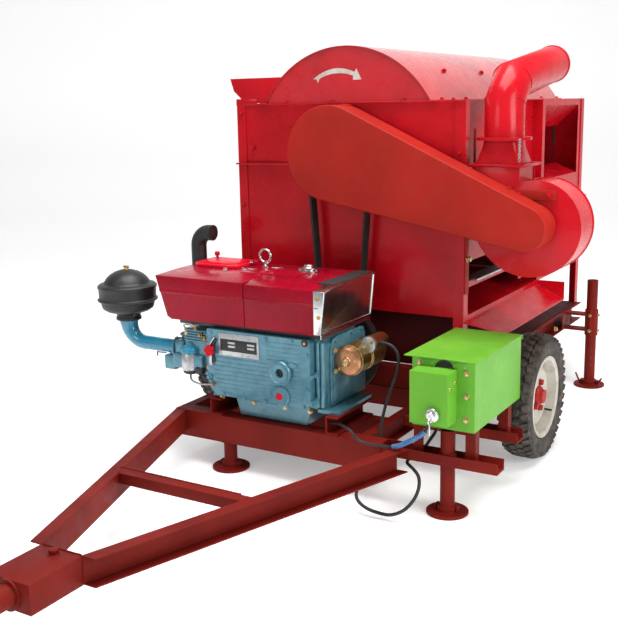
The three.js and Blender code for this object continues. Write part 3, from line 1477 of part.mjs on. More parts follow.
const leftward = new THREE.Vector3(-1, 0, 0);
const rightward = new THREE.Vector3(1, 0, 0);
const upward = new THREE.Vector3(0, 0, 1);
function intakePipe() {
  const corner = new THREE.Vector3(cleaner.x, cleaner.y, intake.bendZ);
  const points = [
    new THREE.Vector3(cleaner.x, cleaner.y, cleaner.bottom - fit),
    ...bendPoints(corner, upward, rightward, intake.bendRadius),
    new THREE.Vector3(head.coverLeft - fit, cleaner.y, intake.bendZ),
  ];
  return sweep(points, intake.diameter / 2, coarse, 12);
}
part('intake_pipe', intakePipe(), engineBlue());

function exhaustElbow() {
  const corner = new THREE.Vector3(exhaust.x, exhaust.y, exhaust.top);
  const points = [
    new THREE.Vector3(exhaust.x, exhaust.y, exhaust.z),
    new THREE.Vector3(exhaust.x, exhaust.y, (exhaust.z + exhaust.top) / 2),
    ...bendPoints(corner, upward.clone().negate(), rightward, exhaust.bend),
    new THREE.Vector3(exhaust.x + exhaust.bend + exhaust.reach, exhaust.y, exhaust.top),
  ];
  const tube = sweep(points, exhaust.diameter / 2, coarse, 9);
  const flange = rodZ(exhaust.diameter * 0.7, exhaust.z, exhaust.z + exhaust.wall * 2, exhaust.x, exhaust.y);
  const mouth = rodX(exhaust.diameter / 2 - exhaust.wall, exhaust.x + exhaust.bend, exhaust.x + exhaust.bend
    + exhaust.reach + overrun, exhaust.y, exhaust.top, coarse);
  return cut(join(tube, flange), mouth);
}
part('exhaust_elbow', exhaustElbow(), blackPaint());

function starterMotor() {
  const s = starter;
  const inner = engine.right + fit;
  const casing = rodY(s.radius, s.front + s.capThickness, s.rear, s.x, s.z, round);
  const capEnd = rodY(s.radius * 0.94, s.front, s.front + s.capThickness, s.x, s.z, round);
  const nose = rodY(s.noseRadius, s.rear, s.noseRear, s.x, s.z, round);
  const solenoid = rodY(s.solenoidRadius, s.solenoidFront, s.solenoidRear, s.solenoidX, s.solenoidZ, round);
  const saddle = block(s.x, s.solenoidX, s.solenoidFront + s.capThickness, s.solenoidRear - s.capThickness,
    s.z, s.solenoidZ);
  const bracket = block(inner, s.x, s.rear - s.capThickness, s.rear, s.z - s.noseRadius, s.z + s.noseRadius);
  return join(casing, capEnd, nose, solenoid, saddle, bracket);
}
part('starter_motor', starterMotor(), brass());

function flywheelBody() {
  const y0 = flywheel.front;
  const y1 = y0 + flywheel.thickness;
  const r = flywheel.radius;
  const shaftFront = engine.rear - engine.chamfer + fit;
  const shaftRear = mainBelt.front + mainBelt.width + pulley.lipWidth * 2;
  const rimBody = rodY(r, y0, y1, 0, 0, fine);
  const recess = rodY(r - flywheel.rimDepth, y0 + flywheel.web, y1 + overrun, 0, 0);
  const hub = rodY(bearingRadius, y0, y1, 0, 0, coarse);
  const shaft = rodY(crank.shaft / 2, shaftFront, shaftRear, 0, 0, coarse);
  const drive = pulleyBody(crank.pulleyRadius, mainBelt.front, mainBelt.width, 0, 0, crank.shaft / 4);
  return join(cut(rimBody, recess), hub, shaft, drive).translate(0, 0, crank.z);
}
part('flywheel', flywheelBody(), iron());

function speedLever() {
  const y1 = engine.front - fit - gearCover.thickness - fit;
  const half = lever.width / 2;
  const arm = block(-half, half, y1 - lever.thickness, y1, -half, lever.length);
  const star = new THREE.Shape();
  const tips = lever.knobPoints * 2;
  for (let k = 0; k < tips; k += 1) {
    const radius = k % 2 ? lever.knobRadius * 0.75 : lever.knobRadius;
    const angle = (2 * Math.PI * k) / tips;
    const point = [radius * Math.cos(angle), lever.length + radius * Math.sin(angle)];
    if (k) star.lineTo(...point);
    else star.moveTo(...point);
  }
  const knob = alongY(star, y1 - lever.thickness - lever.knobDepth, y1 - lever.thickness + fit);
  return join(arm, knob).translate(lever.x + gearCover.corner, 0, lever.z - lever.length);
}
part('speed_lever', speedLever(), paint('#d0182a', 0.5));

// Battery box with hinged lid, control box, key and battery

function batteryBox() {
  const w = box.wall;
  const shell = cut(
    block(box.left, box.right, box.front, box.rear, box.bottom, box.top),
    block(box.left + w, box.right - w, box.front + w, box.rear - w, box.bottom + w, box.top + overrun),
    rodY(box.cableHole / 2, box.front - overrun, box.front + w + overrun, box.cableX, box.cableZ),
  );
  const l = box.legWidth;
  const channelFloor = lowerTop - extension.height + steel.wall + fit;
  const legs = [];
  for (const y of [box.legFront, box.rearLegFront]) {
    for (const side of [0, 1]) {
      const x0 = side ? box.right - l : box.left;
      const angle = cut(block(x0, x0 + l, y, y + l, channelFloor, box.bottom + w / 2),
        block(x0 + (side ? -overrun : box.legWall), x0 + (side ? l - box.legWall : l + overrun),
          y + box.legWall, y + l + overrun, 0, box.bottom - fit));
      legs.push(angle);
    }
  }
  return join(shell, ...legs);
}
part('battery_box', batteryBox(), boxGreen());

const hingeY = box.front - box.hingeRadius - fit;
const hingeZ = box.top + box.hingeRadius;
function boxLid() {
  const w = box.wall;
  const z0 = box.top + fit;
  const x0 = box.left - box.lidOverLeft;
  const x1 = box.right + box.lidOverRight;
  const y1 = box.rear + box.lidOverRear;
  const plate = block(x0, x1, box.front, y1, z0, z0 + w);
  const rearLip = block(x0, x1, y1 - w, y1, z0 - box.lidLip, z0 + w);
  const knuckles = [box.left + box.hingeInset, box.right - box.hingeInset - box.hingeLength].map((x) =>
    join(rodX(box.hingeRadius, x, x + box.hingeLength, hingeY, hingeZ, coarse),
      block(x, x + box.hingeLength, hingeY, box.front + w, z0, z0 + w)));
  return join(plate, rearLip, ...knuckles);
}
part('box_lid', boxLid(), boxGreen());

function controlBox() {
  const w = control.wall;
  const rear = box.front - fit;
  const shell = cut(
    block(control.left, control.right, control.front, rear, control.bottom, control.top),
    block(control.left + w, control.right - w, control.front + w, rear + overrun, control.bottom + w,
      control.top - w),
  );
  const barrel = rodY(key.barrel, control.front - key.barrelDepth, control.front + w, key.x, key.z);
  const slot = rodY(key.thickness + fit, control.front - key.barrelDepth - overrun,
    control.front + w + overrun, key.x, key.z, coarse);
  return cut(join(shell, barrel), slot);
}
part('control_box', controlBox(), boxGreen());

function ignitionKey() {
  const y0 = control.front - key.barrelDepth - fit;
  const blade = rodY(key.thickness - fit, y0 - key.bladeLength, control.front + control.wall, key.x, key.z,
    coarse);
  const bow = block(key.x - key.bowWidth / 2, key.x + key.bowWidth / 2, y0 - key.bladeLength - key.thickness,
    y0 - key.bladeLength, key.z - key.bowHeight, key.z + key.bowHeight / 4);
  return join(blade, bow);
}
part('ignition_key', ignitionKey(), brightSteel());

function batteryBlock() {
  const x = (box.left + box.right) / 2;
  const y = (box.front + box.rear) / 2;
  const z = box.bottom + box.wall + fit;
  const caseBody = block(x - battery.width / 2, x + battery.width / 2, y - battery.length / 2,
    y + battery.length / 2, z, z + battery.height);
  const posts = [-1, 1].map((side) =>
    rodZ(battery.terminal / 2, z, z + battery.height + battery.terminalHeight, x + side * battery.width / 3,
      y - battery.length / 2 + battery.terminal, coarse));
  return join(caseBody, ...posts);
}
part('battery', batteryBlock(), blackPaint());

// Origin: the middle of the footprint without the cables, on the ground
const bounds = new THREE.Box3().setFromObject(machine);
const middle = bounds.getCenter(new THREE.Vector3());
machine.position.set(-middle.x, -middle.y, -bounds.min.z);

// The heavy starter cable: from the solenoid down behind the front channel, under it, over the ground
// and up behind the battery extension to the floor of the box
const starterTerminal = starter.solenoidX + starter.solenoidRadius + fit;
const batteryFloor = box.bottom - fit;
const overGround = [
  [405, -725, 115], [403, -749, 90], [402, -784, 80], [399, -840, 78], [403, -896, 70], [426, -938, 54],
  [470, -958, 36], [530, -963, 26], [590, -962, 28], [640, -948, 52], [669, -918, 90], [677, -888, 130],
].map(([x, y, height]) => [x, y, ground + height]);
const starterRoute = [
  [starterTerminal, -570, 618], [starterTerminal + starterCable.exit, -570, 618], [405, -571, 609],
  [430, -573, 584], [439, -577, 550], [430, -584, 490], [408, -600, 414], [398, -638, 330], [402, -686, 246],
  [406, -710, 190], [406, -716, 148], ...overGround, [664, -860, 164], [634, -838, 182], [598, -812, 189],
  [578, -785, 186], [570, -756, 188], [574, -726, 195], [589, -701, 208], [613, -684, 229], [632, -675, 260],
  [653, -674, 294], [662, -671, 324], [664, -670, batteryFloor - starterCable.exit],
  [664, -670, batteryFloor],
];
// The thin control cable: from the engine rail in front of the channel to the control box
const railWeb = engineRail.rightX + engineRail.wall + fit;
const controlFloor = control.bottom - fit;
const controlRoute = [
  [railWeb, -784, 300], [railWeb + controlCable.exit, -784, 300], [262, -796, 306], [344, -846, 306],
  [395, -850, 268], [487, -850, 264], [555, -850, 272], [621, -850, 306], [682, -850, 352],
  [700, -850, controlFloor - controlCable.exit], [700, -850, controlFloor],
];
const route = (points) => points.map(([x, y, z]) => new THREE.Vector3(x, y, z));
part('starter_cable', sweep(route(starterRoute), starterCable.diameter / 2, starterCable.sides,
  starterCable.steps), rubber());
part('control_cable', sweep(route(controlRoute), controlCable.diameter / 2, controlCable.sides,
  controlCable.steps), rubber());
machine.updateMatrixWorld(true);

export default machine;
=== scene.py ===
# %% [markdown]
# # A towed corn sheller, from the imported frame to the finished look
# The machine is a two-wheeled steel trailer that carries a diesel engine, a belt-driven shelling
# drum under a half-round cover, a fan and a green battery box. The CAD frame gives every place.
# This lesson gives each piece its smooth shape, its small fittings and its real paint.

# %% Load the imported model
import math
import random

import bmesh
import bpy
from mathutils import Matrix, Vector


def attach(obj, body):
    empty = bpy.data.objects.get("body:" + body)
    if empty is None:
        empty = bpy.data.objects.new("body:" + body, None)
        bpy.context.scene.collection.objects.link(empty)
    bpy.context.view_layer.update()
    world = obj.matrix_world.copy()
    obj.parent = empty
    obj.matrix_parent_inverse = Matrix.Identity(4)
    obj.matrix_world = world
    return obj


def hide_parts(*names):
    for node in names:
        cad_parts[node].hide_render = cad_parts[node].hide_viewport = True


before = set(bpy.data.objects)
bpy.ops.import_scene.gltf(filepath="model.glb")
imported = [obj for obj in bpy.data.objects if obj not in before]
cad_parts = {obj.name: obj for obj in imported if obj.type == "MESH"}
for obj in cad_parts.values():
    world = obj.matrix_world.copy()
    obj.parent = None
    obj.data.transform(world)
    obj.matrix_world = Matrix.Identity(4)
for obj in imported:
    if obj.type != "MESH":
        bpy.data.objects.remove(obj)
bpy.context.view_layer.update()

# %% [markdown]
# All sizes here are the maker's millimetres: across from the drum's axis, along from a line just in
# front of the wheel axle, and up from the ground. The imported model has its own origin, so one helper
# turns a maker's place into a packed one.

# %% Places in metres, and objects in the scene
ORIGIN_MM = Vector((-32.32019, 481.0, 0.0))


def at(x, y, z):
    return (Vector((x, y, z)) + ORIGIN_MM) / 1000


def show(name, data):
    thing = bpy.data.objects.new(name, data)
    bpy.context.scene.collection.objects.link(thing)
    return thing


print("drum axis at", at(0, 0, 1390))

# %% [markdown]
# The camera was solved from straight edges of the real frame: it stands in front of the drawbar on
# the right, at about eye height, and looks down by about twelve degrees. Its roll is one degree.

# %% Camera at the photograph's angle
TURN, TILT, ROLL = math.radians(31.056), math.radians(11.78), math.radians(-1.115)
PHOTO_WIDTH, FOCAL_PIXELS, SENSOR_MM = 618, 971.28, 36
forward = Vector((-math.sin(TURN) * math.cos(TILT), math.cos(TURN) * math.cos(TILT), -math.sin(TILT)))
side = Vector((math.cos(TURN), math.sin(TURN), 0))
above = side.cross(forward)
right_hand = math.cos(ROLL) * side + math.sin(ROLL) * above
up_hand = -math.sin(ROLL) * side + math.cos(ROLL) * above
eye = show("camera", bpy.data.cameras.new("camera"))
place = Matrix((right_hand, up_hand, -forward)).transposed().to_4x4()
place.translation = at(2192.95, -4204.15, 1627.1)
eye.matrix_world = place
eye.data.sensor_fit = "HORIZONTAL"
eye.data.lens = SENSOR_MM * FOCAL_PIXELS / PHOTO_WIDTH
eye.data.shift_x = -2.21 / PHOTO_WIDTH
eye.data.shift_y = -1.17 / PHOTO_WIDTH
eye.data.clip_end = 60
bpy.context.scene.camera = eye
print("camera at", place.translation)

# %% [markdown]
# Two cables hang free. The heavy one runs from the starter down in front of the cross channel, over
# the ground and up into the battery box. The thin one joins the engine rail to the control box. Each
# is a curve with a round section, and it follows the same points as the cable in the frame.

# %% A smooth line through given points
def through(*points, per_span=6):
    points = [at(*p) for p in points]
    line = [2 * points[0] - points[1], *points, 2 * points[-1] - points[-2]]
    smooth = []
    for a, b, c, d in zip(line, line[1:], line[2:], line[3:]):
        ta, tb, tc = ((q - p).length ** 0.5 for p, q in ((a, b), (b, c), (c, d)))
        out = ((b - a) / ta - (c - a) / (ta + tb) + (c - b) / tb) * tb
        into = ((c - b) / tb - (d - b) / (tb + tc) + (d - c) / tc) * tb
        for k in range(per_span):
            t = k / per_span
            smooth.append(b * (2 * t**3 - 3 * t**2 + 1) + out * (t**3 - 2 * t**2 + t)
                          + c * (3 * t**2 - 2 * t**3) + into * (t**3 - t**2))
    return [*smooth, points[-1]]


def round_line(name, points, diameter, sides=5, swell=None):
    data = bpy.data.curves.new(name + "_line", "CURVE")
    data.dimensions = "3D"
    data.bevel_depth = diameter / 2000
    data.bevel_resolution = sides
    data.use_fill_caps = True
    spline = data.splines.new("POLY")
    spline.points.add(len(points) - 1)
    for point, where, width in zip(spline.points, points, swell or [1] * len(points)):
        point.co = (*where, 1)
        point.radius = width
    spline.use_smooth = True
    drawn = bpy.data.objects.new(name + "_line", data)
    piece = show(name, bpy.data.meshes.new_from_object(drawn))
    bpy.data.objects.remove(drawn)
    piece.data.shade_smooth()
    piece.data.set_sharp_from_angle(angle=math.radians(50))
    return piece


def length_of(points):
    return sum((b - a).length for a, b in zip(points, points[1:]))


# %% The two cables
starter_line = through(
    (355.3, -570, 618), (371.3, -570, 618), (405, -571, 609), (430, -573, 584), (439, -577, 550),
    (430, -584, 490), (408, -600, 414), (398, -638, 330), (402, -686, 246), (406, -710, 190),
    (406, -716, 148), (405, -725, 115), (403, -749, 90), (402, -784, 80), (399, -840, 78), (403, -896, 70),
    (426, -938, 54), (470, -958, 36), (530, -963, 26), (590, -962, 28), (640, -948, 52), (669, -918, 90),
    (677, -888, 130), (664, -860, 164), (634, -838, 182), (598, -812, 189), (578, -785, 186),
    (570, -756, 188), (574, -726, 195), (589, -701, 208), (613, -684, 229), (632, -675, 260),
    (653, -674, 294), (662, -671, 324), (664, -670, 343.7), (664, -670, 359.7))
control_line = through(
    (215.3, -784, 300), (229.3, -784, 300), (262, -796, 306), (344, -846, 306), (395, -850, 268),
    (487, -850, 264), (555, -850, 272), (621, -850, 306), (682, -850, 352), (700, -850, 385.7),
    (700, -850, 399.7))
starter_lead = round_line("starter_lead", starter_line, 14)
control_lead = round_line("control_lead", control_line, 12)
for lead, line, node, diameter in ((starter_lead, starter_line, "starter_cable", 0.014),
                                   (control_lead, control_line, "control_cable", 0.012)):
    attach(lead, "trailer")
    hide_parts(node)
    print(node, "is", round(length_of(line), 3), "m long")

# %% [markdown]
# The machine stands in a bright studio, on a pale floor that curves up into a pale wall. The strongest
# light comes softly from above, a weaker one from the right and the weakest from the front, because in
# the photograph the tops are brightest and the fronts darkest.

# %% Small helpers for mesh shapes
def points_in(grown):
    return [v for v in grown if isinstance(v, bmesh.types.BMVert)]


def edges_in(grown):
    return [e for e in grown if isinstance(e, bmesh.types.BMEdge)]


def all_of(shape):
    return shape.verts[:] + shape.edges[:] + shape.faces[:]


def row_in(shape, places, closed=False):
    points = [shape.verts.new(place) for place in places]
    ahead = points[1:] + points[:1] if closed else points[1:]
    return points, [shape.edges.new(pair) for pair in zip(points, ahead)]


def mesh_of(shape, name):
    mesh = bpy.data.meshes.new(name)
    shape.to_mesh(mesh)
    shape.free()
    return mesh


# %% Floor and light
FLOOR_SIDE = ((-9, 0), (7, 0), (8.2, 0.25), (9.1, 0.95), (9.5, 2), (9.5, 9))


def floor_sweep():
    shape = bmesh.new()
    _, edges = row_in(shape, [(-14, y, z) for y, z in FLOOR_SIDE])
    grown = bmesh.ops.extrude_edge_only(shape, edges=edges)["geom"]
    bmesh.ops.translate(shape, vec=(28, 0, 0), verts=points_in(grown))
    bmesh.ops.rotate(shape, cent=(0, 0, 0), matrix=Matrix.Rotation(TURN, 3, "Z"), verts=shape.verts)
    bmesh.ops.recalc_face_normals(shape, faces=shape.faces)
    floor = show("studio_floor", mesh_of(shape, "studio_floor"))
    floor.data.shade_smooth()
    return floor


def soft_light(name, where, aim, size, power):
    light = bpy.data.lights.new(name, "AREA")
    light.size = size
    light.energy = power
    lamp = show(name, light)
    lamp.location = where
    lamp.rotation_euler = (Vector(aim) - Vector(where)).to_track_quat("-Z", "Y").to_euler()


studio_floor = floor_sweep()
soft_light("top_light", (0.6, -0.4, 6.4), (0.1, -0.2, 0.8), 4.5, 500)
soft_light("right_light", (6.2, -1.4, 3.2), (0.2, 0, 0.9), 3.0, 210)
soft_light("front_light", (-2.6, -7.0, 4.4), (0, -0.8, 0.8), 3.0, 90)
studio_air = bpy.data.worlds.new("studio_air")
bpy.context.scene.world = studio_air
studio_air.use_nodes = True
studio_air.node_tree.nodes["Background"].inputs["Color"].default_value = (1, 1, 1, 1)
studio_air.node_tree.nodes["Background"].inputs["Strength"].default_value = 0.34
bpy.context.scene.view_settings.view_transform = "Standard"

# %% [markdown]
# ## Paints and other finishes
# Every colour is read off the real thing as a screen value, such as c20c1c, and a shader wants light
# values, so one function turns the one into the other. A second small function adds a shader node
# with its settings and its links.

# %% Colour and node helpers
def light_of(hexa):
    parts = [int(hexa[k:k + 2], 16) / 255 for k in (0, 2, 4)]
    return (*(p / 12.92 if p <= 0.04045 else ((p + 0.055) / 1.055) ** 2.4 for p in parts), 1)


def add_node(tree, kind, values=None, links=None, **settings):
    node = tree.nodes.new(kind)
    for name, value in settings.items():
        setattr(node, name, value)
    for name, value in (values or {}).items():
        node.inputs[name].default_value = value
    for name, socket in (links or {}).items():
        tree.links.new(socket, node.inputs[name])
    return node


def per_mm(size):
    return 1000 / size


print("crimson as light", light_of("c20c1c"))

# %% A node that blends two colours by an amount
def mix_colours(tree, amount, first, second):
    blend = add_node(tree, "ShaderNodeMix", data_type="RGBA")
    for socket, colour in ((blend.inputs[6], first), (blend.inputs[7], second)):
        if isinstance(colour, str):
            socket.default_value = light_of(colour)
        else:
            tree.links.new(colour, socket)
    tree.links.new(amount, blend.inputs[0])
    return blend.outputs[2]


# %% Open a new finish
def new_finish(name):
    finish = bpy.data.materials.new(name)
    finish.use_nodes = True
    tree = finish.node_tree
    place_on = {"Vector": add_node(tree, "ShaderNodeTexCoord").outputs["Object"]}
    return finish, tree, tree.nodes["Principled BSDF"], place_on


# %% [markdown]
# Sheet steel is sprayed with gloss alkyd enamel. What the eye gets is a clear colour with a slightly
# uneven skin (orange peel, about 4 mm), soft clouds where the coat is thicker, dust that dulls parts
# of it, and bare, darker metal along knocked edges. Clouds are noise 300 mm wide, dust is noise
# 60 mm wide, and the worn edge comes from a rounding node that finds where the surface turns.

# %% Enamel on sheet steel
CLOUD_MM, GRIT_MM, PEEL_MM, EDGE_M = 300, 60, 4, 0.004


def enamel(name, colour, deep, dust, rough=0.32, dusty=0.25, worn=0.35, under="4a3631", gloss=0.0,
           shine=0.12):
    paint, tree, skin, place_on = new_finish(name)
    clouds = add_node(tree, "ShaderNodeTexNoise", {"Scale": per_mm(CLOUD_MM), "Detail": 4.0}, place_on)
    grit = add_node(tree, "ShaderNodeTexNoise",
                    {"Scale": per_mm(GRIT_MM), "Detail": 7.0, "Roughness": 0.62}, place_on).outputs["Fac"]
    spread = add_node(tree, "ShaderNodeMapRange", {"From Min": 0.35, "From Max": 0.62},
                      {"Value": clouds.outputs["Fac"]})
    tone = mix_colours(tree, spread.outputs["Result"], deep, colour)
    settled = add_node(tree, "ShaderNodeMapRange",
                       {"From Min": 0.5, "From Max": 0.78, "To Max": dusty}, {"Value": grit})
    dusted = mix_colours(tree, settled.outputs["Result"], tone, dust)
    edge = add_node(tree, "ShaderNodeBevel", {"Radius": EDGE_M}, samples=3)
    facing = add_node(tree, "ShaderNodeNewGeometry")
    meet = add_node(tree, "ShaderNodeVectorMath", operation="DOT_PRODUCT")
    tree.links.new(edge.outputs["Normal"], meet.inputs[0])
    tree.links.new(facing.outputs["Normal"], meet.inputs[1])
    turned = add_node(tree, "ShaderNodeMapRange", {"From Min": 0.985, "From Max": 0.86},
                      {"Value": meet.outputs["Value"]})
    knocked = add_node(tree, "ShaderNodeMapRange", {"From Min": 0.56, "From Max": 0.64, "To Max": worn},
                       {"Value": grit})
    bare = add_node(tree, "ShaderNodeMath", operation="MULTIPLY")
    tree.links.new(turned.outputs["Result"], bare.inputs[0])
    tree.links.new(knocked.outputs["Result"], bare.inputs[1])
    final = mix_colours(tree, bare.outputs["Value"], dusted, under)
    tree.links.new(final, skin.inputs["Base Color"])
    dull = add_node(tree, "ShaderNodeMapRange",
                    {"From Min": 0.3, "From Max": 0.75, "To Min": rough, "To Max": rough + 0.22},
                    {"Value": grit})
    tree.links.new(dull.outputs["Result"], skin.inputs["Roughness"])
    skin.inputs["IOR"].default_value = 1.5
    skin.inputs["Specular IOR Level"].default_value = shine
    skin.inputs["Coat Weight"].default_value = gloss
    skin.inputs["Coat Roughness"].default_value = 0.12
    fine = add_node(tree, "ShaderNodeTexNoise", {"Scale": per_mm(PEEL_MM), "Detail": 2.0}, place_on)
    bump = add_node(tree, "ShaderNodeBump", {"Strength": 0.12, "Distance": 0.0006},
                    {"Height": fine.outputs["Fac"]})
    tree.links.new(bump.outputs["Normal"], skin.inputs["Normal"])
    return paint


# %% The paints, each with its colour, its deeper tone and its dust
crimson_enamel = enamel("crimson_gloss_enamel", "c20c1c", "ac0816", "bc2c34", 0.2, 0.06, gloss=0.2,
                        shine=0.15)
cover_enamel = enamel("crimson_cover_sheet_enamel", "c20c1c", "ac0816", "bc2c34", 0.22, 0.06, gloss=0.75,
                      shine=0.4)
brick_enamel = enamel("brick_red_satin_enamel", "a8241b", "982018", "a84840", 0.4, 0.15)
oxide_enamel = enamel("oxide_red_frame_enamel", "761a12", "64130e", "7c3a2c", 0.46, 0.12, worn=0.8)
magenta_enamel = enamel("magenta_red_tank_enamel", "9a0824", "88061c", "961c34", 0.16, 0.03, gloss=0.12)
lid_enamel = enamel("bright_red_lid_enamel", "d8142c", "bc0e24", "c24a55", 0.3, 0.1, gloss=0.2)
leaf_enamel = enamel("leaf_green_box_enamel", "68ae30", "5ea229", "94c268", 0.36, 0.15, under="556b48",
                     shine=0.3)
signal_enamel = enamel("bright_red_knob_plastic", "d31528", "b8101f", "cf4a4a", 0.35, 0.1, worn=0)
white_enamel = enamel("off_white_rim_enamel", "cfcdc6", "b9b4a8", "a08b76", 0.45, 0.8, under="6a5f55")
hub_enamel = enamel("hub_red_enamel", "a82a26", "a42826", "a86a58", 0.42, 0.4)
black_enamel = enamel("black_stove_enamel", "232425", "18191a", "454341", 0.36, 0.3, under="565350",
                      shine=0.5)
gloss_teal = enamel("gloss_teal_pipe_enamel", "2a8fae", "207a98", "5c98ac", 0.16, 0.06, under="4c6a74",
                    gloss=0.7, shine=0.5)
# Painted shade: a very dark maroon for the sheets under the body, which stand where there is only shade.
shade_maroon_enamel = enamel("painted_shade_maroon", "4a0f12", "3a0b0e", "5c2a28", 0.6, 0.3)
print("enamels", [m.name for m in bpy.data.materials])

# %% [markdown]
# Steel that is not painted is rolled or machined: a metal keeps its own reflection, and the eye reads
# it by streaks of rubbing, brown rust in the pits and a dull grey oxide.

# %% Bare metals
def bare_metal(name, colour, stain, rough, stained=0.5, grain=25):
    steel, tree, skin, place_on = new_finish(name)
    blotch = add_node(tree, "ShaderNodeTexNoise", {"Scale": per_mm(grain), "Detail": 8.0, "Roughness": 0.6},
                      place_on).outputs["Fac"]
    amount = add_node(tree, "ShaderNodeMapRange", {"From Min": 0.45, "From Max": 0.7, "To Max": stained},
                      {"Value": blotch})
    tree.links.new(mix_colours(tree, amount.outputs["Result"], colour, stain), skin.inputs["Base Color"])
    dull = add_node(tree, "ShaderNodeMapRange", {"To Min": rough - 0.08, "To Max": rough + 0.18},
                    {"Value": blotch})
    tree.links.new(dull.outputs["Result"], skin.inputs["Roughness"])
    skin.inputs["Metallic"].default_value = 1.0
    fine = add_node(tree, "ShaderNodeTexNoise", {"Scale": per_mm(2.5), "Detail": 3.0}, place_on)
    bump = add_node(tree, "ShaderNodeBump", {"Strength": 0.2, "Distance": 0.0004},
                    {"Height": fine.outputs["Fac"]})
    tree.links.new(bump.outputs["Normal"], skin.inputs["Normal"])
    return steel


dark_iron = bare_metal("forged_dark_iron", "5d5a57", "5a3d2b", 0.48, 0.7)
galvanised_steel = bare_metal("galvanised_sheet_steel", "c3c6c8", "8d8f90", 0.36, 0.6, 18)
chrome_steel = bare_metal("chromed_steel", "d9dbdd", "b3b0aa", 0.16, 0.4, 60)
zinc_bolt_steel = bare_metal("yellow_zinc_bolt_steel", "cbb583", "9a8453", 0.32, 0.6, 6)
brass_metal = bare_metal("cast_brass", "b58d4e", "7d5c30", 0.34, 0.6, 14)
copper_cap_metal = bare_metal("copper_plated_steel", "c08a66", "94664a", 0.26, 0.5, 16)
gold_zinc_steel = bare_metal("gold_zinc_plated_steel", "b29a62", "86723f", 0.27, 0.5, 20)
print("metals", [m.name for m in (dark_iron, galvanised_steel, chrome_steel, brass_metal)])

# %% [markdown]
# Rubber is black and never shines: a tyre is grey-brown from dust on its wall and darker in the
# grooves. Moulded black plastic has a fine leather grain. The engine wears a hammer-finish enamel,
# whose surface is a field of shallow dimples about 7 mm across.

# %% Rubber, plastic and hammer finish
def moulded(name, colour, dust, rough, dusty, grain, depth):
    stuff, tree, skin, place_on = new_finish(name)
    settled = add_node(tree, "ShaderNodeTexNoise", {"Scale": per_mm(45), "Detail": 7.0, "Roughness": 0.65},
                       place_on)
    amount = add_node(tree, "ShaderNodeMapRange", {"From Min": 0.4, "From Max": 0.72, "To Max": dusty},
                      {"Value": settled.outputs["Fac"]})
    tree.links.new(mix_colours(tree, amount.outputs["Result"], colour, dust), skin.inputs["Base Color"])
    skin.inputs["Roughness"].default_value = rough
    skin.inputs["IOR"].default_value = 1.5
    pits = add_node(tree, "ShaderNodeTexVoronoi", {"Scale": per_mm(grain)}, place_on, feature="SMOOTH_F1")
    bump = add_node(tree, "ShaderNodeBump", {"Strength": 0.35, "Distance": depth},
                    {"Height": pits.outputs["Distance"]})
    tree.links.new(bump.outputs["Normal"], skin.inputs["Normal"])
    return stuff


tyre_rubber = moulded("tyre_rubber", "2a2725", "6c6157", 0.78, 0.8, 5, 0.0005)
belt_rubber = moulded("belt_rubber", "1a1a1b", "44403b", 0.7, 0.35, 4, 0.0003)
cable_rubber = moulded("cable_rubber", "141416", "3d3b39", 0.5, 0.25, 3, 0.0002)
blue_sleeve_plastic = moulded("blue_sleeve_plastic", "3a6ea5", "7f9ab5", 0.45, 0.4, 3, 0.0002)
battery_plastic = moulded("battery_polypropylene", "1f2123", "5a5a58", 0.45, 0.3, 6, 0.0002)
hammer_enamel = moulded("teal_hammer_enamel", "588d9e", "3d7182", 0.3, 0.9, 7, 0.0011)
hammer_enamel.node_tree.nodes["Principled BSDF"].inputs["Metallic"].default_value = 0.25
hammer_enamel.node_tree.nodes["Principled BSDF"].inputs["Coat Weight"].default_value = 0.4
print("moulded", [m.name for m in (tyre_rubber, belt_rubber, cable_rubber, hammer_enamel)])

# %% [markdown]
# ## The CAD pieces that keep their shape
# The drum, its concave and front bearing, the sieve pan, the fan's impeller and the flywheel are right
# as packed. They only get the finish of the real pieces, and the two cables get their rubber.

# %% Finish for the CAD nodes that stay
STAYING = {dark_iron: ("drum_bearing_front", "concave", "drum_rotor", "fan_impeller", "flywheel"),
           galvanised_steel: ("sieve_pan",)}
for finish, nodes in STAYING.items():
    for node in nodes:
        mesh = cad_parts[node].data
        mesh.materials.clear()
        mesh.materials.append(finish)
starter_lead.data.materials.append(cable_rubber)
control_lead.data.materials.append(cable_rubber)
print("finished as packed", [node for nodes in STAYING.values() for node in nodes])

# %% The slot and the finish that go together
BODY_RED = ("body_red", crimson_enamel)
FRAME_RED = ("frame_red", oxide_enamel)
TANK_RED = ("tank_red", magenta_enamel)
KNOB_RED = ("knob_red", signal_enamel)
BOX_GREEN = ("box_green", leaf_enamel)
CAST_BLUE = ("engine_blue", hammer_enamel)
PIPE_BLUE = ("engine_blue", gloss_teal)
BLACK_IRON = ("black_metal", black_enamel)
BLACK_RUBBER = ("black_plastic", belt_rubber)
BELT = ("belt_rubber", belt_rubber)
BOLT_ZINC = ("bright", zinc_bolt_steel)
GREY_ZINC = ("bright", galvanised_steel)
CHROME = ("bright", chrome_steel)
BRASS = ("brass", brass_metal)
RIM_WHITE = ("rim_white", white_enamel)

# %% [markdown]
# ## Helpers for new shapes
# A new piece is made of one or more small meshes, each shaped with mesh operators. A turned shape
# starts as a half profile and is spun. A plate starts as one face and is drawn out. A bolt is a
# six-sided cone with a washer. The helper fit joins the shapes, keeps hard edges hard, and puts the
# piece on its body in the place of the CAD nodes that it stands for.

# %% Join shapes into one piece
MERGE_M, EXACT_M, HARD_ANGLE = 0.00003, 0.00001, 32


def add_shape(whole, shape):
    part = mesh_of(shape, "part")
    whole.from_mesh(part)
    bpy.data.meshes.remove(part)


def smooth_piece(name, shape, sharp):
    piece = show(name, mesh_of(shape, name))
    piece.data.shade_smooth()
    piece.data.set_sharp_from_angle(angle=math.radians(sharp))
    return piece


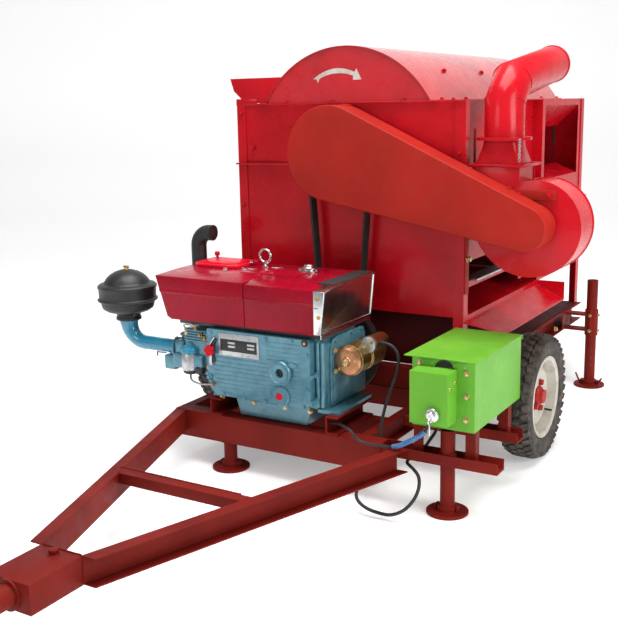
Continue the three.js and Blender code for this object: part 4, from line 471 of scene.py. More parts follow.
def dress(piece, look, *nodes, body="trailer"):
    slot, finish = look
    piece.data.materials.clear()
    piece.data.materials.append(finish)
    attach(piece, body)
    if nodes:
        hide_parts(*nodes)
    print(piece.name, "rides on", body, "with", len(piece.data.vertices), "points")


def fit(name, look, shapes, *nodes, body="trailer", sharp=HARD_ANGLE):
    whole = bmesh.new()
    for shape in shapes:
        bmesh.ops.remove_doubles(shape, verts=shape.verts, dist=MERGE_M)
        bmesh.ops.recalc_face_normals(shape, faces=shape.faces)
        add_shape(whole, shape)
    dress(smooth_piece(name, whole, sharp), look, *nodes, body=body)


# %% Place a shape along a direction
AXIS = {"x": (1, 0, 0), "y": (0, 1, 0), "z": (0, 0, 1), "-x": (-1, 0, 0), "-y": (0, -1, 0)}


def lay_along(shape, where, direction):
    heading = Vector(AXIS[direction] if isinstance(direction, str) else direction)
    turn = Vector((0, 0, 1)).rotation_difference(heading).to_matrix().to_4x4()
    bmesh.ops.transform(shape, matrix=Matrix.Translation(where) @ turn, verts=shape.verts)
    return shape


# %% A turned shape, from radius and height pairs in millimetres
def turned_shape(profile, where, axis="z", steps=48):
    shape = bmesh.new()
    row, edges = row_in(shape, [(r / 1000, 0, h / 1000) for r, h in profile])
    bmesh.ops.spin(shape, geom=row + edges, cent=(0, 0, 0), axis=(0, 0, 1), dvec=(0, 0, 0),
                   angle=2 * math.pi, steps=steps, use_merge=True)
    bmesh.ops.remove_doubles(shape, verts=shape.verts, dist=MERGE_M)
    return lay_along(shape, where, axis)


def disc(radius, height, where, axis, steps):
    return turned_shape([(0, 0), (radius, 0), (radius, height), (0, height)], where, axis, steps)


def ring_plate(inner, outer, low, high, where, axis="z", steps=64):
    return turned_shape([(inner, low), (outer, low), (outer, high), (inner, high), (inner, low)],
                        where, axis, steps)


def wire_ring(radius, wire, where, axis, sides, steps):
    circle = [2 * math.pi * k / sides for k in range(sides + 1)]
    section = [(radius + wire * math.cos(t), wire * math.sin(t)) for t in circle]
    return turned_shape(section, where, axis, steps)


def on_circle(radius, turn):
    return radius * math.cos(turn), radius * math.sin(turn)


def rod(start, end, radius, sides):
    shape = bmesh.new()
    bmesh.ops.create_cone(shape, cap_ends=True, segments=sides, radius1=radius / 1000,
                          radius2=radius / 1000, depth=(end - start).length)
    return lay_along(shape, (start + end) / 2, end - start)


# %% A plate drawn out of its outline, and a block with softened edges
def plate(outline, axis, low, high, edge=0.0, segments=2):
    shape = bmesh.new()
    spots = {"x": lambda a, b: at(low, a, b), "y": lambda a, b: at(a, low, b),
             "z": lambda a, b: at(a, b, low)}
    face = shape.faces.new([shape.verts.new(spots[axis](a, b)) for a, b in outline])
    grown = bmesh.ops.extrude_face_region(shape, geom=[face])["geom"]
    bmesh.ops.translate(shape, vec=Vector(AXIS[axis]) * (high - low) / 1000, verts=points_in(grown))
    bmesh.ops.recalc_face_normals(shape, faces=shape.faces)
    return softened_shape(shape, edge, segments)


def softened_shape(shape, edge, segments=2, angle=25):
    if edge > 0:
        folds = [e for e in shape.edges if e.is_manifold and e.calc_face_angle(0) > math.radians(angle)]
        bmesh.ops.bevel(shape, geom=folds, offset=edge / 1000, offset_type="OFFSET", segments=segments,
                        profile=0.5, affect="EDGES", clamp_overlap=True, material=-1)
    return shape


def thickened(shape, thickness=3):
    bmesh.ops.recalc_face_normals(shape, faces=shape.faces)
    bmesh.ops.solidify(shape, geom=shape.faces[:], thickness=thickness / 1000)
    return shape


def block(x0, x1, y0, y1, z0, z1, edge=1.0, segments=2):
    return plate([(x0, y0), (x1, y0), (x1, y1), (x0, y1)], "z", z0, z1, edge, segments)


# %% A hexagon bolt with its washer
WASHER_MM, HEX_CORNER, WASHER_LOW, WASHER_TOP = 2, 1732, 1300, 1400
WASHER_DEPTH_M, WASHER_LIFT_M = 0.0025, 0.001


def bolt(where, axis="-y", across=19, height=9):
    head = bmesh.new()
    bmesh.ops.create_cone(head, cap_ends=True, segments=6, radius1=across / HEX_CORNER,
                          radius2=across / HEX_CORNER, depth=height / 1000)
    bmesh.ops.translate(head, vec=(0, 0, (height / 2 + WASHER_MM) / 1000), verts=head.verts)
    softened_shape(head, 0.8)
    ring = bmesh.new()
    bmesh.ops.create_cone(ring, cap_ends=True, segments=20, radius1=across / WASHER_LOW,
                          radius2=across / WASHER_TOP, depth=WASHER_DEPTH_M)
    bmesh.ops.translate(ring, vec=(0, 0, WASHER_LIFT_M), verts=ring.verts)
    add_shape(head, ring)
    return lay_along(head, where, axis)


def bolts(spots, axis="-y", across=19, height=9):
    return [bolt(at(*spot), axis, across, height) for spot in spots]


# %% [markdown]
# A folded or rolled steel edge is never knife sharp: it catches a thin line of light. A CAD node
# that is right in shape is copied, its loose triangles are merged, flat faces are joined, and a live
# bevel rounds each edge: by a millimetre or two on rolled steel, and by six on the engine's castings.

# %% Softened copies of CAD nodes
def softened(node, width):
    shape = bmesh.new()
    shape.from_mesh(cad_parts[node].data)
    bmesh.ops.remove_doubles(shape, verts=shape.verts, dist=EXACT_M)
    bmesh.ops.dissolve_limit(shape, angle_limit=math.radians(2), verts=shape.verts, edges=shape.edges,
                             use_dissolve_boundaries=False, delimit={"NORMAL"})
    piece = smooth_piece(node + "_steel", shape, HARD_ANGLE)
    rounding = piece.modifiers.new("rounding", "BEVEL")
    rounding.width = width / 1000
    rounding.segments = 2
    rounding.limit_method = "ANGLE"
    rounding.angle_limit = math.radians(HARD_ANGLE)
    rounding.harden_normals = True
    return piece


SOFT = {
    (2.0, *FRAME_RED): ("front_cross_member", "second_cross_member", "lower_rear_cross_member",
                        "lower_rail_left", "lower_rail_right", "battery_channel_rear", "engine_rail_left",
                        "engine_rail_right", "chassis_rail_left", "chassis_rail_right",
                        "chassis_cross_front", "chassis_cross_rear", "drawbar_left", "drawbar_right",
                        "drawbar_tie", "axle_beam"),
    (1.2, *BODY_RED): ("front_wall", "rear_wall", "left_wall", "right_wall", "feed_hopper", "grain_tray"),
    (6.0, *CAST_BLUE): ("crankcase", "gear_cover"),
}
for (width, *look), nodes in SOFT.items():
    for node in nodes:
        dress(softened(node, width), look, node)

# %% [markdown]
# ## The sheller's sheet metal
# The cover is one sheet rolled to a half round, with an end plate welded 8 mm inside each edge. A row
# of points is spun through the arc, two cuts and a few deleted faces open the feed mouth, and
# Solidify gives the sheet its 4 mm.

# %% Drum cover
COVER_R, COVER_Z, COVER_FOOT, COVER_STEEL = 498, 1390, 1634.3, 4
COVER_FRONT, COVER_BACK = -240, 1580
MOUTH_FRONT, MOUTH_BACK, MOUTH_LOW, MOUTH_HIGH = -186, 470, 1648, 1753
cover_rise = math.asin((COVER_FOOT - COVER_Z) / COVER_R)


def arc_sheet(radius, y_row, steps):
    shape = bmesh.new()
    x, rise = on_circle(radius, cover_rise)
    row, edges = row_in(shape, [at(x, y, COVER_Z + rise) for y in y_row])
    bmesh.ops.spin(shape, geom=row + edges, cent=at(0, 0, COVER_Z), axis=(0, -1, 0), dvec=(0, 0, 0),
                   angle=math.pi - 2 * cover_rise, steps=steps, use_merge=False)
    bmesh.ops.remove_doubles(shape, verts=shape.verts, dist=MERGE_M)
    return shape


def faces_between(shape, low, high):
    return [f for f in shape.faces if all(low[k] < f.calc_center_median()[k] < high[k] for k in range(3))]


cover_sheet = arc_sheet(COVER_R - COVER_STEEL / 2, (COVER_FRONT, MOUTH_FRONT, MOUTH_BACK, COVER_BACK), 72)
for height in (MOUTH_LOW, MOUTH_HIGH):
    bmesh.ops.bisect_plane(cover_sheet, geom=all_of(cover_sheet), plane_co=at(0, 0, height),
                           plane_no=(0, 0, 1))
mouth = faces_between(cover_sheet, at(-500, MOUTH_FRONT, MOUTH_LOW), at(-217, MOUTH_BACK, MOUTH_HIGH))
bmesh.ops.delete(cover_sheet, geom=mouth, context="FACES")
thickened(cover_sheet, COVER_STEEL)


def end_plate(y):
    span = [cover_rise + (math.pi - 2 * cover_rise) * k / 60 for k in range(61)]
    reach = COVER_R - COVER_STEEL
    outline = [(reach * math.cos(a), COVER_Z + reach * math.sin(a)) for a in span]
    return plate(outline, "y", y, y + 4)


flange_strips = [block(*sides, COVER_FRONT, COVER_BACK, COVER_FOOT, COVER_FOOT + 4)
                 for sides in ((-460, -430), (430, 460))]
cover_ends = [end_plate(COVER_FRONT + 8), end_plate(COVER_BACK - 12)]
fit("drum_cover_sheet", ("body_red", cover_enamel), [cover_sheet, *cover_ends, *flange_strips], "drum_cover")

# %% [markdown]
# The belt guard is a flat box with two round ends. The outline is two arcs joined by their common
# tangents. It is drawn out twice, so that the part of its rim where the belts pass can be opened.

# %% Outline of a band round two circles
def band_outline(x0, z0, r0, x1, z1, r1, steps=40):
    heading = math.atan2(z1 - z0, x1 - x0)
    lean = math.acos((r0 - r1) / math.hypot(x1 - x0, z1 - z0))
    first = [heading + lean + (2 * math.pi - 2 * lean) * k / steps for k in range(steps + 1)]
    second = [heading - lean + 2 * lean * k / steps for k in range(steps + 1)]
    return [(x0 + r0 * math.cos(a), z0 + r0 * math.sin(a)) for a in first] \
        + [(x1 + r1 * math.cos(a), z1 + r1 * math.sin(a)) for a in second]


# %% Belt guard
FAN_X, FAN_Z, GUARD_Z, GUARD_R = 912, 1113, 1412, 213.5
GUARD_FACE, GUARD_FOLD, GUARD_BACK = -398.5, -376, -262
GAP_LOW, GAP_HIGH, NEAR_M = at(-190, GUARD_FOLD, 505), at(170, GUARD_BACK, 1390), 1e-4


def guard_shell():
    shape = bmesh.new()
    outline = band_outline(0, GUARD_Z, GUARD_R, FAN_X, FAN_Z, 93.5)
    face = shape.faces.new([shape.verts.new(at(x, GUARD_FACE, z)) for x, z in outline])
    ring = face.edges[:]
    for y in (GUARD_FOLD, GUARD_BACK):
        grown = bmesh.ops.extrude_edge_only(shape, edges=ring)["geom"]
        fresh = points_in(grown)
        for vert in fresh:
            vert.co.y = at(0, y, 0).y
        ring = [e for e in edges_in(grown) if set(e.verts) <= set(fresh)]
    near = Vector((NEAR_M, NEAR_M, NEAR_M))
    gap = [f for f in faces_between(shape, GAP_LOW - near, GAP_HIGH + near) if abs(f.normal.y) < 0.5]
    bmesh.ops.delete(shape, geom=gap, context="FACES")
    bmesh.ops.recalc_face_normals(shape, faces=shape.faces)
    return thickened(softened_shape(shape, 7, 4, 68.75))


def moved(shape, where, turn):
    bmesh.ops.transform(shape, matrix=Matrix.Translation(where) @ turn @ Matrix.Translation(-at(0, 0, 0)),
                        verts=shape.verts)
    return shape


def guard_lug(angle):
    x, z = on_circle(GUARD_R + 1.5, angle)
    return moved(block(-20, 20, -302, -235.3, -3, 1), at(x, 0, GUARD_Z + z),
                 Matrix.Rotation(math.pi / 2 - angle, 4, "Y"))


fit("belt_guard_shell", ("guard_red", brick_enamel),
    [guard_shell(), *[guard_lug(math.pi * t) for t in (0.75, 1.1, 0.45)]], "belt_guard")

# %% [markdown]
# The two drives use wedge belts. Each belt is narrow inside and wide outside, so it is bridged from
# four closed loops. Three belts lie side by side on the big pulleys, and one drives the fan.

# %% Belts
BELT_FOOT_LIFT, BELT_FOOT_SHARE = 0.5, 0.36


def bridged(shape, pairs):
    for near, far in pairs:
        bmesh.ops.bridge_loops(shape, edges=near + far)
    return shape


def wedge_belt(y, width, thickness, ends):
    shape = bmesh.new()
    rings = []
    foot = width * BELT_FOOT_SHARE
    for lift, half in ((BELT_FOOT_LIFT, foot), (BELT_FOOT_LIFT, -foot), (thickness, -width / 2),
                       (thickness, width / 2)):
        outline = band_outline(ends[0], ends[1], ends[2] + lift, ends[3], ends[4], ends[5] + lift, 32)
        rings.append(row_in(shape, [at(x, y + half, z) for x, z in outline], closed=True)[1])
    return bridged(shape, zip(rings, rings[1:] + rings[:1]))


main_drive = [wedge_belt(y, 16.5, 10.5, (0, COVER_Z, 152.9, 0, 505, 87)) for y in (-305, -287, -269)]
fit("wedge_belts", BELT, main_drive, "main_belts")
fit("fan_wedge_belt", BELT, [wedge_belt(-338, 22, 9.5, (0, COVER_Z, 132.8, FAN_X, FAN_Z, 61.4))], "fan_belt")

# %% [markdown]
# The fan is a scroll: its rim runs out from the wheel like a snail shell and turns up into a square
# duct. Front and rear plates stand 4 mm proud of the rim. Above the duct a lofted collar goes from
# square to round, which needs a ring of points that slides from a rectangle to a circle.

# %% Fan scroll
SCROLL_R, DUCT_L, DUCT_R, DUCT_TOP = 190, 630, 840, 1360
FAN_FRONT, FAN_BACK, PIPE_X, PIPE_Y = -250, -50, 735, -150


def scroll_outline(inset=0.0, steps=64):
    right, left = DUCT_R - inset, DUCT_L + inset
    start = math.acos((right - FAN_X) / (SCROLL_R - inset))
    points = [(right, DUCT_TOP)]
    for k in range(steps + 1):
        angle = start - (math.pi + start) * k / steps
        radius = SCROLL_R + (FAN_X - DUCT_L - SCROLL_R) * (k / steps) ** 3 - inset
        x, z = on_circle(radius, angle)
        points.append((FAN_X + x, FAN_Z + z))
    return [*points, (left, DUCT_TOP)]


def scroll_rim():
    shape = bmesh.new()
    _, edges = row_in(shape, [at(x, FAN_FRONT + 4, z) for x, z in scroll_outline(4)])
    grown = bmesh.ops.extrude_edge_only(shape, edges=edges)["geom"]
    bmesh.ops.translate(shape, vec=(0, (FAN_BACK - FAN_FRONT - 8) / 1000, 0), verts=points_in(grown))
    return thickened(shape)


# %% Square-to-round collar
COLLAR_RINGS = ((94, False, 1366), (94, False, 1369), (85, True, 1464), (85, True, 1470))
COLLAR_POINTS, COLLAR_HALF_DEPTH = 64, 90


def collar():
    shape = bmesh.new()
    rings = []
    for half, circle, z in COLLAR_RINGS:
        places = []
        for k in range(COLLAR_POINTS):
            c, s = on_circle(1, 2 * math.pi * (k + 0.5) / COLLAR_POINTS)
            scale = half if circle else min(half / abs(c), COLLAR_HALF_DEPTH / abs(s))
            places.append(at(PIPE_X + c * scale, PIPE_Y + s * scale, z))
        rings.append(row_in(shape, places, closed=True)[1])
    return thickened(bridged(shape, zip(rings, rings[1:])))


# %% Fan casing as one piece
fan_parts = [scroll_rim(), collar()]
fan_parts += [plate(scroll_outline(), "y", y, y + 4, 0.8) for y in (FAN_FRONT, FAN_BACK - 4)]
fan_parts += [block(*sides, 1354, 1366, 1.2) for sides in (
    (608, 862, -256, -246), (608, 862, -54, -28), (608, 632, -250, -50), (838, 862, -250, -50))]
fan_parts += [ring_plate(84, 118, 0, 6, at(PIPE_X, PIPE_Y, 1464))]
fan_parts += [block(*box, 0.8) for box in (
    (590.3, 1016, -53, 137, 1010, 1013), (590.3, 1016, -53, 137, 1213, 1216),
    (590.3, 1016, 134, 137, 1010, 1216), (1013, 1016, -53, 137, 1010, 1216))]
fan_parts += [turned_shape([(20.3, 0), (43, 0), (43, 22), (36, 26), (26, 27.5), (20.3, 27.5), (20.3, 0)],
                           at(FAN_X, -248, FAN_Z), "-y"), block(826, 998, -258, -248, 1084, 1142, 2)]
brace = moved(block(0, 270, -256, -240.3, -15, 15), at(570, 0, 1346), Matrix.Rotation(0.38, 4, "Y"))
fit("fan_casing_sheet", BODY_RED, [*fan_parts, brace], "fan_casing")

# %% [markdown]
# The discharge pipe is rolled from sheet and cut on the slant at each bend, so its joints are flat
# welded ellipses. A ring is drawn out along each leg and stopped on the plane that halves the bend.

# %% Discharge pipe
PIPE_R, FLANGE_Z = 85, 1470.3
SEAM = [(84.5, -3), (88.2, -2), (88.8, 0), (88.2, 2), (84.5, 3), (84.5, -3)]


def mitred_tube(points, radius, sides=64):
    shape = bmesh.new()
    legs = [(b - a).normalized() for a, b in zip(points, points[1:])]
    bmesh.ops.create_circle(shape, cap_ends=False, segments=sides, radius=radius / 1000)
    lay_along(shape, points[0], legs[0])
    edges = shape.edges[:]
    for leg, after, end in zip(legs, [*legs[1:], None], points[1:]):
        grown = bmesh.ops.extrude_edge_only(shape, edges=edges)["geom"]
        stop = leg + after if after else leg
        fresh = set(points_in(grown))
        for vert in fresh:
            vert.co += leg * ((end - vert.co).dot(stop) / leg.dot(stop))
        edges = [e for e in edges_in(grown) if set(e.verts) <= fresh]
    return thickened(shape)


pipe_path = [at(PIPE_X, y, z) for y, z in ((PIPE_Y, FLANGE_Z), (PIPE_Y, 1624), (-66, 1712), (494, 1796))]
pipe_parts = [mitred_tube(pipe_path, PIPE_R), ring_plate(84, 118, 0, 6, pipe_path[0]),
              ring_plate(84, 88, -12, 0, at(PIPE_X, 492, 1795.6), (0, 0.989, 0.148)),
              turned_shape(SEAM, pipe_path[1], (0, 0.38, 0.92), 64),
              turned_shape(SEAM, pipe_path[2], (0, 0.87, 0.49), 64)]
fit("discharge_pipe_sheet", BODY_RED, pipe_parts, "discharge_pipe", body="discharge", sharp=50)

# %% [markdown]
# ## Wheels and legs
# A farm trailer tyre has a round carcass and deep blocks at the shoulders. The carcass is a spun
# profile. Each tread block is a small tapered cube, turned a little on the tread and set in a ring.

# %% Tyre
WHEEL_X, WHEEL_Y, WHEEL_Z = 835, 25, 290
TREAD_BLOCKS, TREAD_R_M = 40, 0.2765
LUG_DEPTH_M, LUG_SINK_M, LUG_TOP_SHARE = 0.026, 0.014, (0.82, 0.84, 1)
TREAD_ROWS = ((0, 52, 34, 42, 0.22, 0.42), (0.08, 17, 33, 30, -0.3, 0))
CARCASS_HALF = [(173.3, -50), (186.4, -50), (191, -58), (204, -68), (224, -72.3), (244, -71), (262, -65),
                (274, -54), (280, -38), (282, 0)]
CARCASS = [*CARCASS_HALF, *[(r, -h) for r, h in CARCASS_HALF[-2::-1]], CARCASS_HALF[0]]


def tread_block(angle, row, length, width, lean, lift):
    lug = bmesh.new()
    bmesh.ops.create_cube(lug, size=1.0)
    bmesh.ops.scale(lug, vec=(width / 1000, length / 1000, LUG_DEPTH_M), verts=lug.verts)
    bmesh.ops.scale(lug, vec=LUG_TOP_SHARE, verts=[v for v in lug.verts if v.co.z > 0])
    softened_shape(lug, 1.6, 1)
    for turn, axis in ((lean, "Z"), (lift, "Y")):
        bmesh.ops.rotate(lug, cent=(0, 0, 0), matrix=Matrix.Rotation(turn, 3, axis), verts=lug.verts)
    bmesh.ops.translate(lug, vec=(row / 1000, 0, TREAD_R_M - abs(lift) * LUG_SINK_M), verts=lug.verts)
    bmesh.ops.rotate(lug, cent=(0, 0, 0), matrix=Matrix.Rotation(angle, 3, "X"), verts=lug.verts)
    return lug


def wall_hoop(hand, turn):
    radius = 228 + turn * 4
    return turned_shape([(radius, 0), (radius + 2, 1.2), (radius + 4, 0)],
                        (hand * (0.0722 - turn * 0.0006), 0, 0), "x" if hand > 0 else "-x", 96)


def tyre_shapes(x):
    shapes = [turned_shape(CARCASS, (0, 0, 0), "x", 96)]
    for k in range(TREAD_BLOCKS):
        for hand in (-1, 1):
            turn = 2 * math.pi * (k + (0.5 if hand > 0 else 0)) / TREAD_BLOCKS
            shapes += [tread_block(turn + ahead, hand * row, length, width, hand * lean, hand * lift)
                       for ahead, row, length, width, lean, lift in TREAD_ROWS]
    shapes += [wall_hoop(hand, turn) for turn in (0, 2, 4, 6) for hand in (-1, 1)]
    for shape in shapes:
        bmesh.ops.translate(shape, vec=at(x, WHEEL_Y, WHEEL_Z), verts=shape.verts)
    return shapes


HANDS = (("left", -1), ("right", 1))
for name, hand in HANDS:
    fit("tyre_tread_" + name, ("tyre", tyre_rubber), tyre_shapes(hand * WHEEL_X), "tyre_" + name,
        body="wheel_" + name, sharp=40)

# %% [markdown]
# The rim is pressed steel, sprayed off-white, with a stepped dish. The hub is a red turned
# casting with a cap, and five chamfered nuts on studs hold the disc. A rubber valve stands inside
# the rim edge.

# %% Rims and hubs
RIM = [(42, 20), (92, 20), (104, 24), (128, 22), (148, 8), (154, -4), (164, -20), (166, -64), (190, -64),
       (190, -58), (186, -50), (172.7, -50), (172.7, 50), (186, 50), (190, 58), (190, 64), (180, 65),
       (169, 58), (162, 20), (153, 2), (146, 14), (128, 28), (104, 30), (92, 26), (42, 26), (42, 20)]
HUB = [(23, -37), (48, -37), (48, 32), (44, 38), (38, 40), (37, 43), (34, 44), (30, 56), (0, 58), (0, 38),
       (23, 37), (23, -37)]
NUTS, NUT_CIRCLE, NUT_SEAT = 5, 64, 24
for name, hand in HANDS:
    x, wheel, outward = hand * WHEEL_X, "wheel_" + name, "x" if hand > 0 else "-x"
    middle = at(x, WHEEL_Y, WHEEL_Z)
    rim_disc = turned_shape([(r, hand * h) for r, h in RIM], middle, "x", 72)
    fit("rim_disc_" + name, RIM_WHITE, [rim_disc], "rim_" + name, body=wheel)
    hub = turned_shape([(r, hand * h) for r, h in HUB], middle, "x", 40)
    studs = [on_circle(NUT_CIRCLE, 2 * math.pi * k / NUTS) for k in range(NUTS)]
    nuts = bolts([(x + hand * NUT_SEAT, WHEEL_Y + y, WHEEL_Z + z) for y, z in studs], outward, 24, 17)
    fit("hub_" + name, ("frame_red", hub_enamel), [hub, *nuts], body=wheel)
    valve_foot = at(x + hand * 20, WHEEL_Y + 104, WHEEL_Z - 92)
    valve_tip = at(x + hand * 60, WHEEL_Y + 108, WHEEL_Z - 96)
    fit("valve_" + name, BELT, [rod(valve_foot, valve_tip, 5, 16)], body=wheel)

# %% [markdown]
# Each leg is a tube in a sleeve with a round foot plate, welded round a short collar. Two ribs stand
# on each foot. Bolts pinch the sleeves of the rear legs, so that they stay at their height.

# %% Legs with foot plates
LEGS = (("front_left", -320, -772, 236), ("front_right", 751, -772, 352),
        ("rear_left", -764, 1284, 620), ("rear_right", 764, 1284, 620))
for name, x, y, top in LEGS:
    post = [(0, 0), (84, 0), (86, 1.5), (86, 10.5), (84, 12), (43.5, 12), (42, 14), (42, 31), (40, 34),
            (32, 35.5), (30, 38), (30, top - 1), (29, top), (26.5, top), (26, top - 1), (26, 14), (0, 14)]
    lugs = [block(x + s * 46 - 3, x + s * 46 + 3, y - 16, y + 16, 11, 34) for s in (-1, 1)]
    fit("foot_" + name, FRAME_RED, [turned_shape(post, at(x, y, 0), "z", 40), *lugs], "leg_" + name,
        body="prop_" + name)

sleeve_bolts = []
for _, hand in HANDS:
    for z in (330, 420):
        sleeve_bolts += bolts([(hand * 764, 1247, z)], "-y", 14, 8)
        sleeve_bolts += bolts([(hand * 801, 1284, z)], "x" if hand > 0 else "-x", 14, 8)
fit("sleeve_bolts", BOLT_ZINC, sleeve_bolts)

# %% [markdown]
# The nose of the drawbar is a welded box with the tow pipe through it. Its bolts and the weld beads
# are what the eye expects on hand-built steel: a bead is a row of 7 mm drops, 5 mm apart and not
# quite in line.

# %% Nose box and tow pipe
NOSE_X, NOSE_Z = 15, 204.7
nose = plate([(-75, -2160.2), (105, -2160.2), (105, -2382), (-75, -2382)], "z", 154.7, 254.7, 2.5)
tow_pipe = turned_shape([(25, 0), (38, 0), (39, 1), (39, 409), (38, 410), (25, 410), (25, 0)],
                        at(NOSE_X, -2602, NOSE_Z), "y", 48)
nose_ring = ring_plate(38, 52, 0, 8, at(NOSE_X, -2390, NOSE_Z), "y", 40)
fit("nose_box", FRAME_RED, [nose, tow_pipe, nose_ring], "drawbar_nose")
fit("nose_bolts", FRAME_RED, bolts([(NOSE_X, -2192, 254.7), (NOSE_X, -2484, 243.2)], "z", 30, 14))

# %% Weld beads
BEAD_MM, BEAD_PITCH, SHAKE_M = 7, 5, 0.0004


def bead(start, end):
    shape = bmesh.new()
    count = max(2, int((end - start).length * 1000 / BEAD_PITCH))
    random.seed(count)
    for k in range(count):
        drop = bmesh.ops.create_icosphere(shape, subdivisions=1, radius=BEAD_MM / 2000)["verts"]
        shake = Vector([random.uniform(-SHAKE_M, SHAKE_M) for _ in range(3)])
        bmesh.ops.translate(shape, vec=start.lerp(end, (k + 0.5) / count) + shake, verts=drop)
    return shape


BEADS = (((-72, -2159, 255.5), (102, -2159, 255.5)), ((-75, -2161, 160), (-75, -2161, 250)),
         ((105, -2161, 160), (105, -2161, 250)), ((-310, -1516, 255), (264, -1516, 255)),
         ((-588, -812.5, 255), (-492, -812.5, 255)), ((492, -812.5, 255), (470, -812.5, 255)),
         ((-397, -811, 257), (-337, -811, 257)), ((207, -811, 257), (267, -811, 257)),
         ((470, -812.5, 210), (470, -812.5, 254)), ((559, -252, 330), (559, -252, 420)),
         ((613, 1208, 426), (613, 1360, 426)), ((-300, -811.5, 130), (-340, -811.5, 130)))
fit("weld_beads", FRAME_RED, [bead(at(*start), at(*end)) for start, end in BEADS], sharp=80)

# %% [markdown]
# ## The diesel engine
# The hood over the water hopper and fuel tank is pressed sheet in two halves. Each half is one front
# profile drawn out along the engine: a top that slopes slightly to the front, a small lip a little
# over a third of the way down, and a flat part below it. The ends are slanted by moving the end
# points, and then every edge is rounded.

# %% Hood of the tank
HOOD_TOP, HOOD_BACK, HOOD_SEAM_X = 888.5, -376, -181


def slanted(profile, low_end, high_end, edge, segments, angle, finish_end=None):
    shape = plate(profile, "x", 0, 100)
    middle = at(50, 0, 0).x
    for vert in shape.verts:
        place_end = low_end if vert.co.x < middle else high_end
        vert.co.x = at(place_end(vert.co.z * 1000), 0, 0).x
    if finish_end:
        finish_end(shape)
    return softened_shape(shape, edge, segments, angle)


def hood_half(brow, brow_back, low_end, high_end):
    profile = [(-826, 683), (-827, 696), (-829, 803), (-833.5, 808), (-834, 814), (-831.5, 818),
               (-831.5, brow), (brow_back, HOOD_TOP), (HOOD_BACK, HOOD_TOP), (HOOD_BACK, 696),
               (HOOD_BACK, 683)]
    return slanted(profile, low_end, high_end, 3, 3, 12)


def left_end(z):
    return -667 + (888 - z) * 0.3 if z > 695 else -588


def cover_end(z):
    return 225 - (888 - z) * 0.1


hood_left = hood_half(881, -650, left_end, lambda z: HOOD_SEAM_X - 2)
hood_right = hood_half(875, -752, lambda z: HOOD_SEAM_X + 2, lambda z: 173)
fit("tank_hood", TANK_RED, [hood_left, hood_right], "fuel_tank", sharp=20)
fit("hood_seam", TANK_RED, [block(HOOD_SEAM_X - 3, HOOD_SEAM_X + 3, -822, -384, 690, 884),
                            block(-330, -30, -640, -392, 888, 890.5, 1.5)])
fit("hopper_core", BLACK_IRON, [block(-560, 176, -800, -392, 662, 690, 4)])

# %% [markdown]
# The right end of the hood is a chromed cover folded round the front corner. Its end face is inset
# and pushed in by 4 mm, so a frame stands round a polished panel. Two brass screws hold the fold, and
# a black rubber strip seals its top edge.

# %% Chromed end cover
FOLD_FACE, CHROME_TOP = -834.5, 889.5


def sunken_panel(shape):
    end = max(shape.faces, key=lambda f: f.calc_center_median().x)
    for inset, push in (((0.004,), 0.002), ((0.009, 0.003), -0.006)):
        for width in inset:
            bmesh.ops.inset_region(shape, faces=[end], thickness=width)
        bmesh.ops.translate(shape, vec=(push, 0, 0), verts=end.verts)


chrome_profile = [(-829, 688), (FOLD_FACE, 690), (FOLD_FACE, 874), (-753, CHROME_TOP),
                  (-377, CHROME_TOP), (-377, 688)]
chrome_cover = slanted(chrome_profile, lambda z: 173, cover_end, 1.6, 3, 15, sunken_panel)
end_rail = [rod(at(cover_end(z) - 4, -822, z), at(cover_end(z) - 4, -382, z), 3.2, 12) for z in (682, 673)]
fit("chrome_end", CHROME, [chrome_cover, *end_rail], sharp=25)
end_screw = [(0, 0), (8, 0), (8, 3), (6, 6), (0, 6.5)]
fit("end_screws", BRASS, [turned_shape(end_screw, at(x, FOLD_FACE, z), "-y", 20)
                          for x, z in ((193, 843), (198, 765))])
fit("seal_strip", BLACK_RUBBER, [block(175, 196, -835.2, -834, 801, 804.5, 0.5),
                                 block(143, 217, -748, -386, 889, 893, 1.5)])

# %% Hopper lid with its knob
LID_X, LID_Y = -520, -486
LID_SHARES = ((-0.5, -0.25), (-0.46, -0.36), (-0.32, -0.5), (0.32, -0.5), (0.46, -0.36), (0.5, -0.25),
              (0.5, 0.44), (0.44, 0.5), (-0.44, 0.5), (-0.5, 0.44))


def lid_outline(length, width):
    return [(LID_X + a * length, LID_Y + b * width) for a, b in LID_SHARES]


lid_plate = plate(lid_outline(266, 206), "z", 887, 904, 5, 3)
lid_crown = plate(lid_outline(214, 156), "z", 903.5, 909, 4, 3)
fit("hopper_lid", ("tank_red", lid_enamel), [lid_plate, lid_crown], sharp=50)
lid_knob = [(0, 0), (6, 0), (6, 9), (12, 11), (13, 24), (10, 29), (0, 30)]
fit("lid_knob", KNOB_RED, [turned_shape(lid_knob, at(-610, -425, 908), "z", 24)])

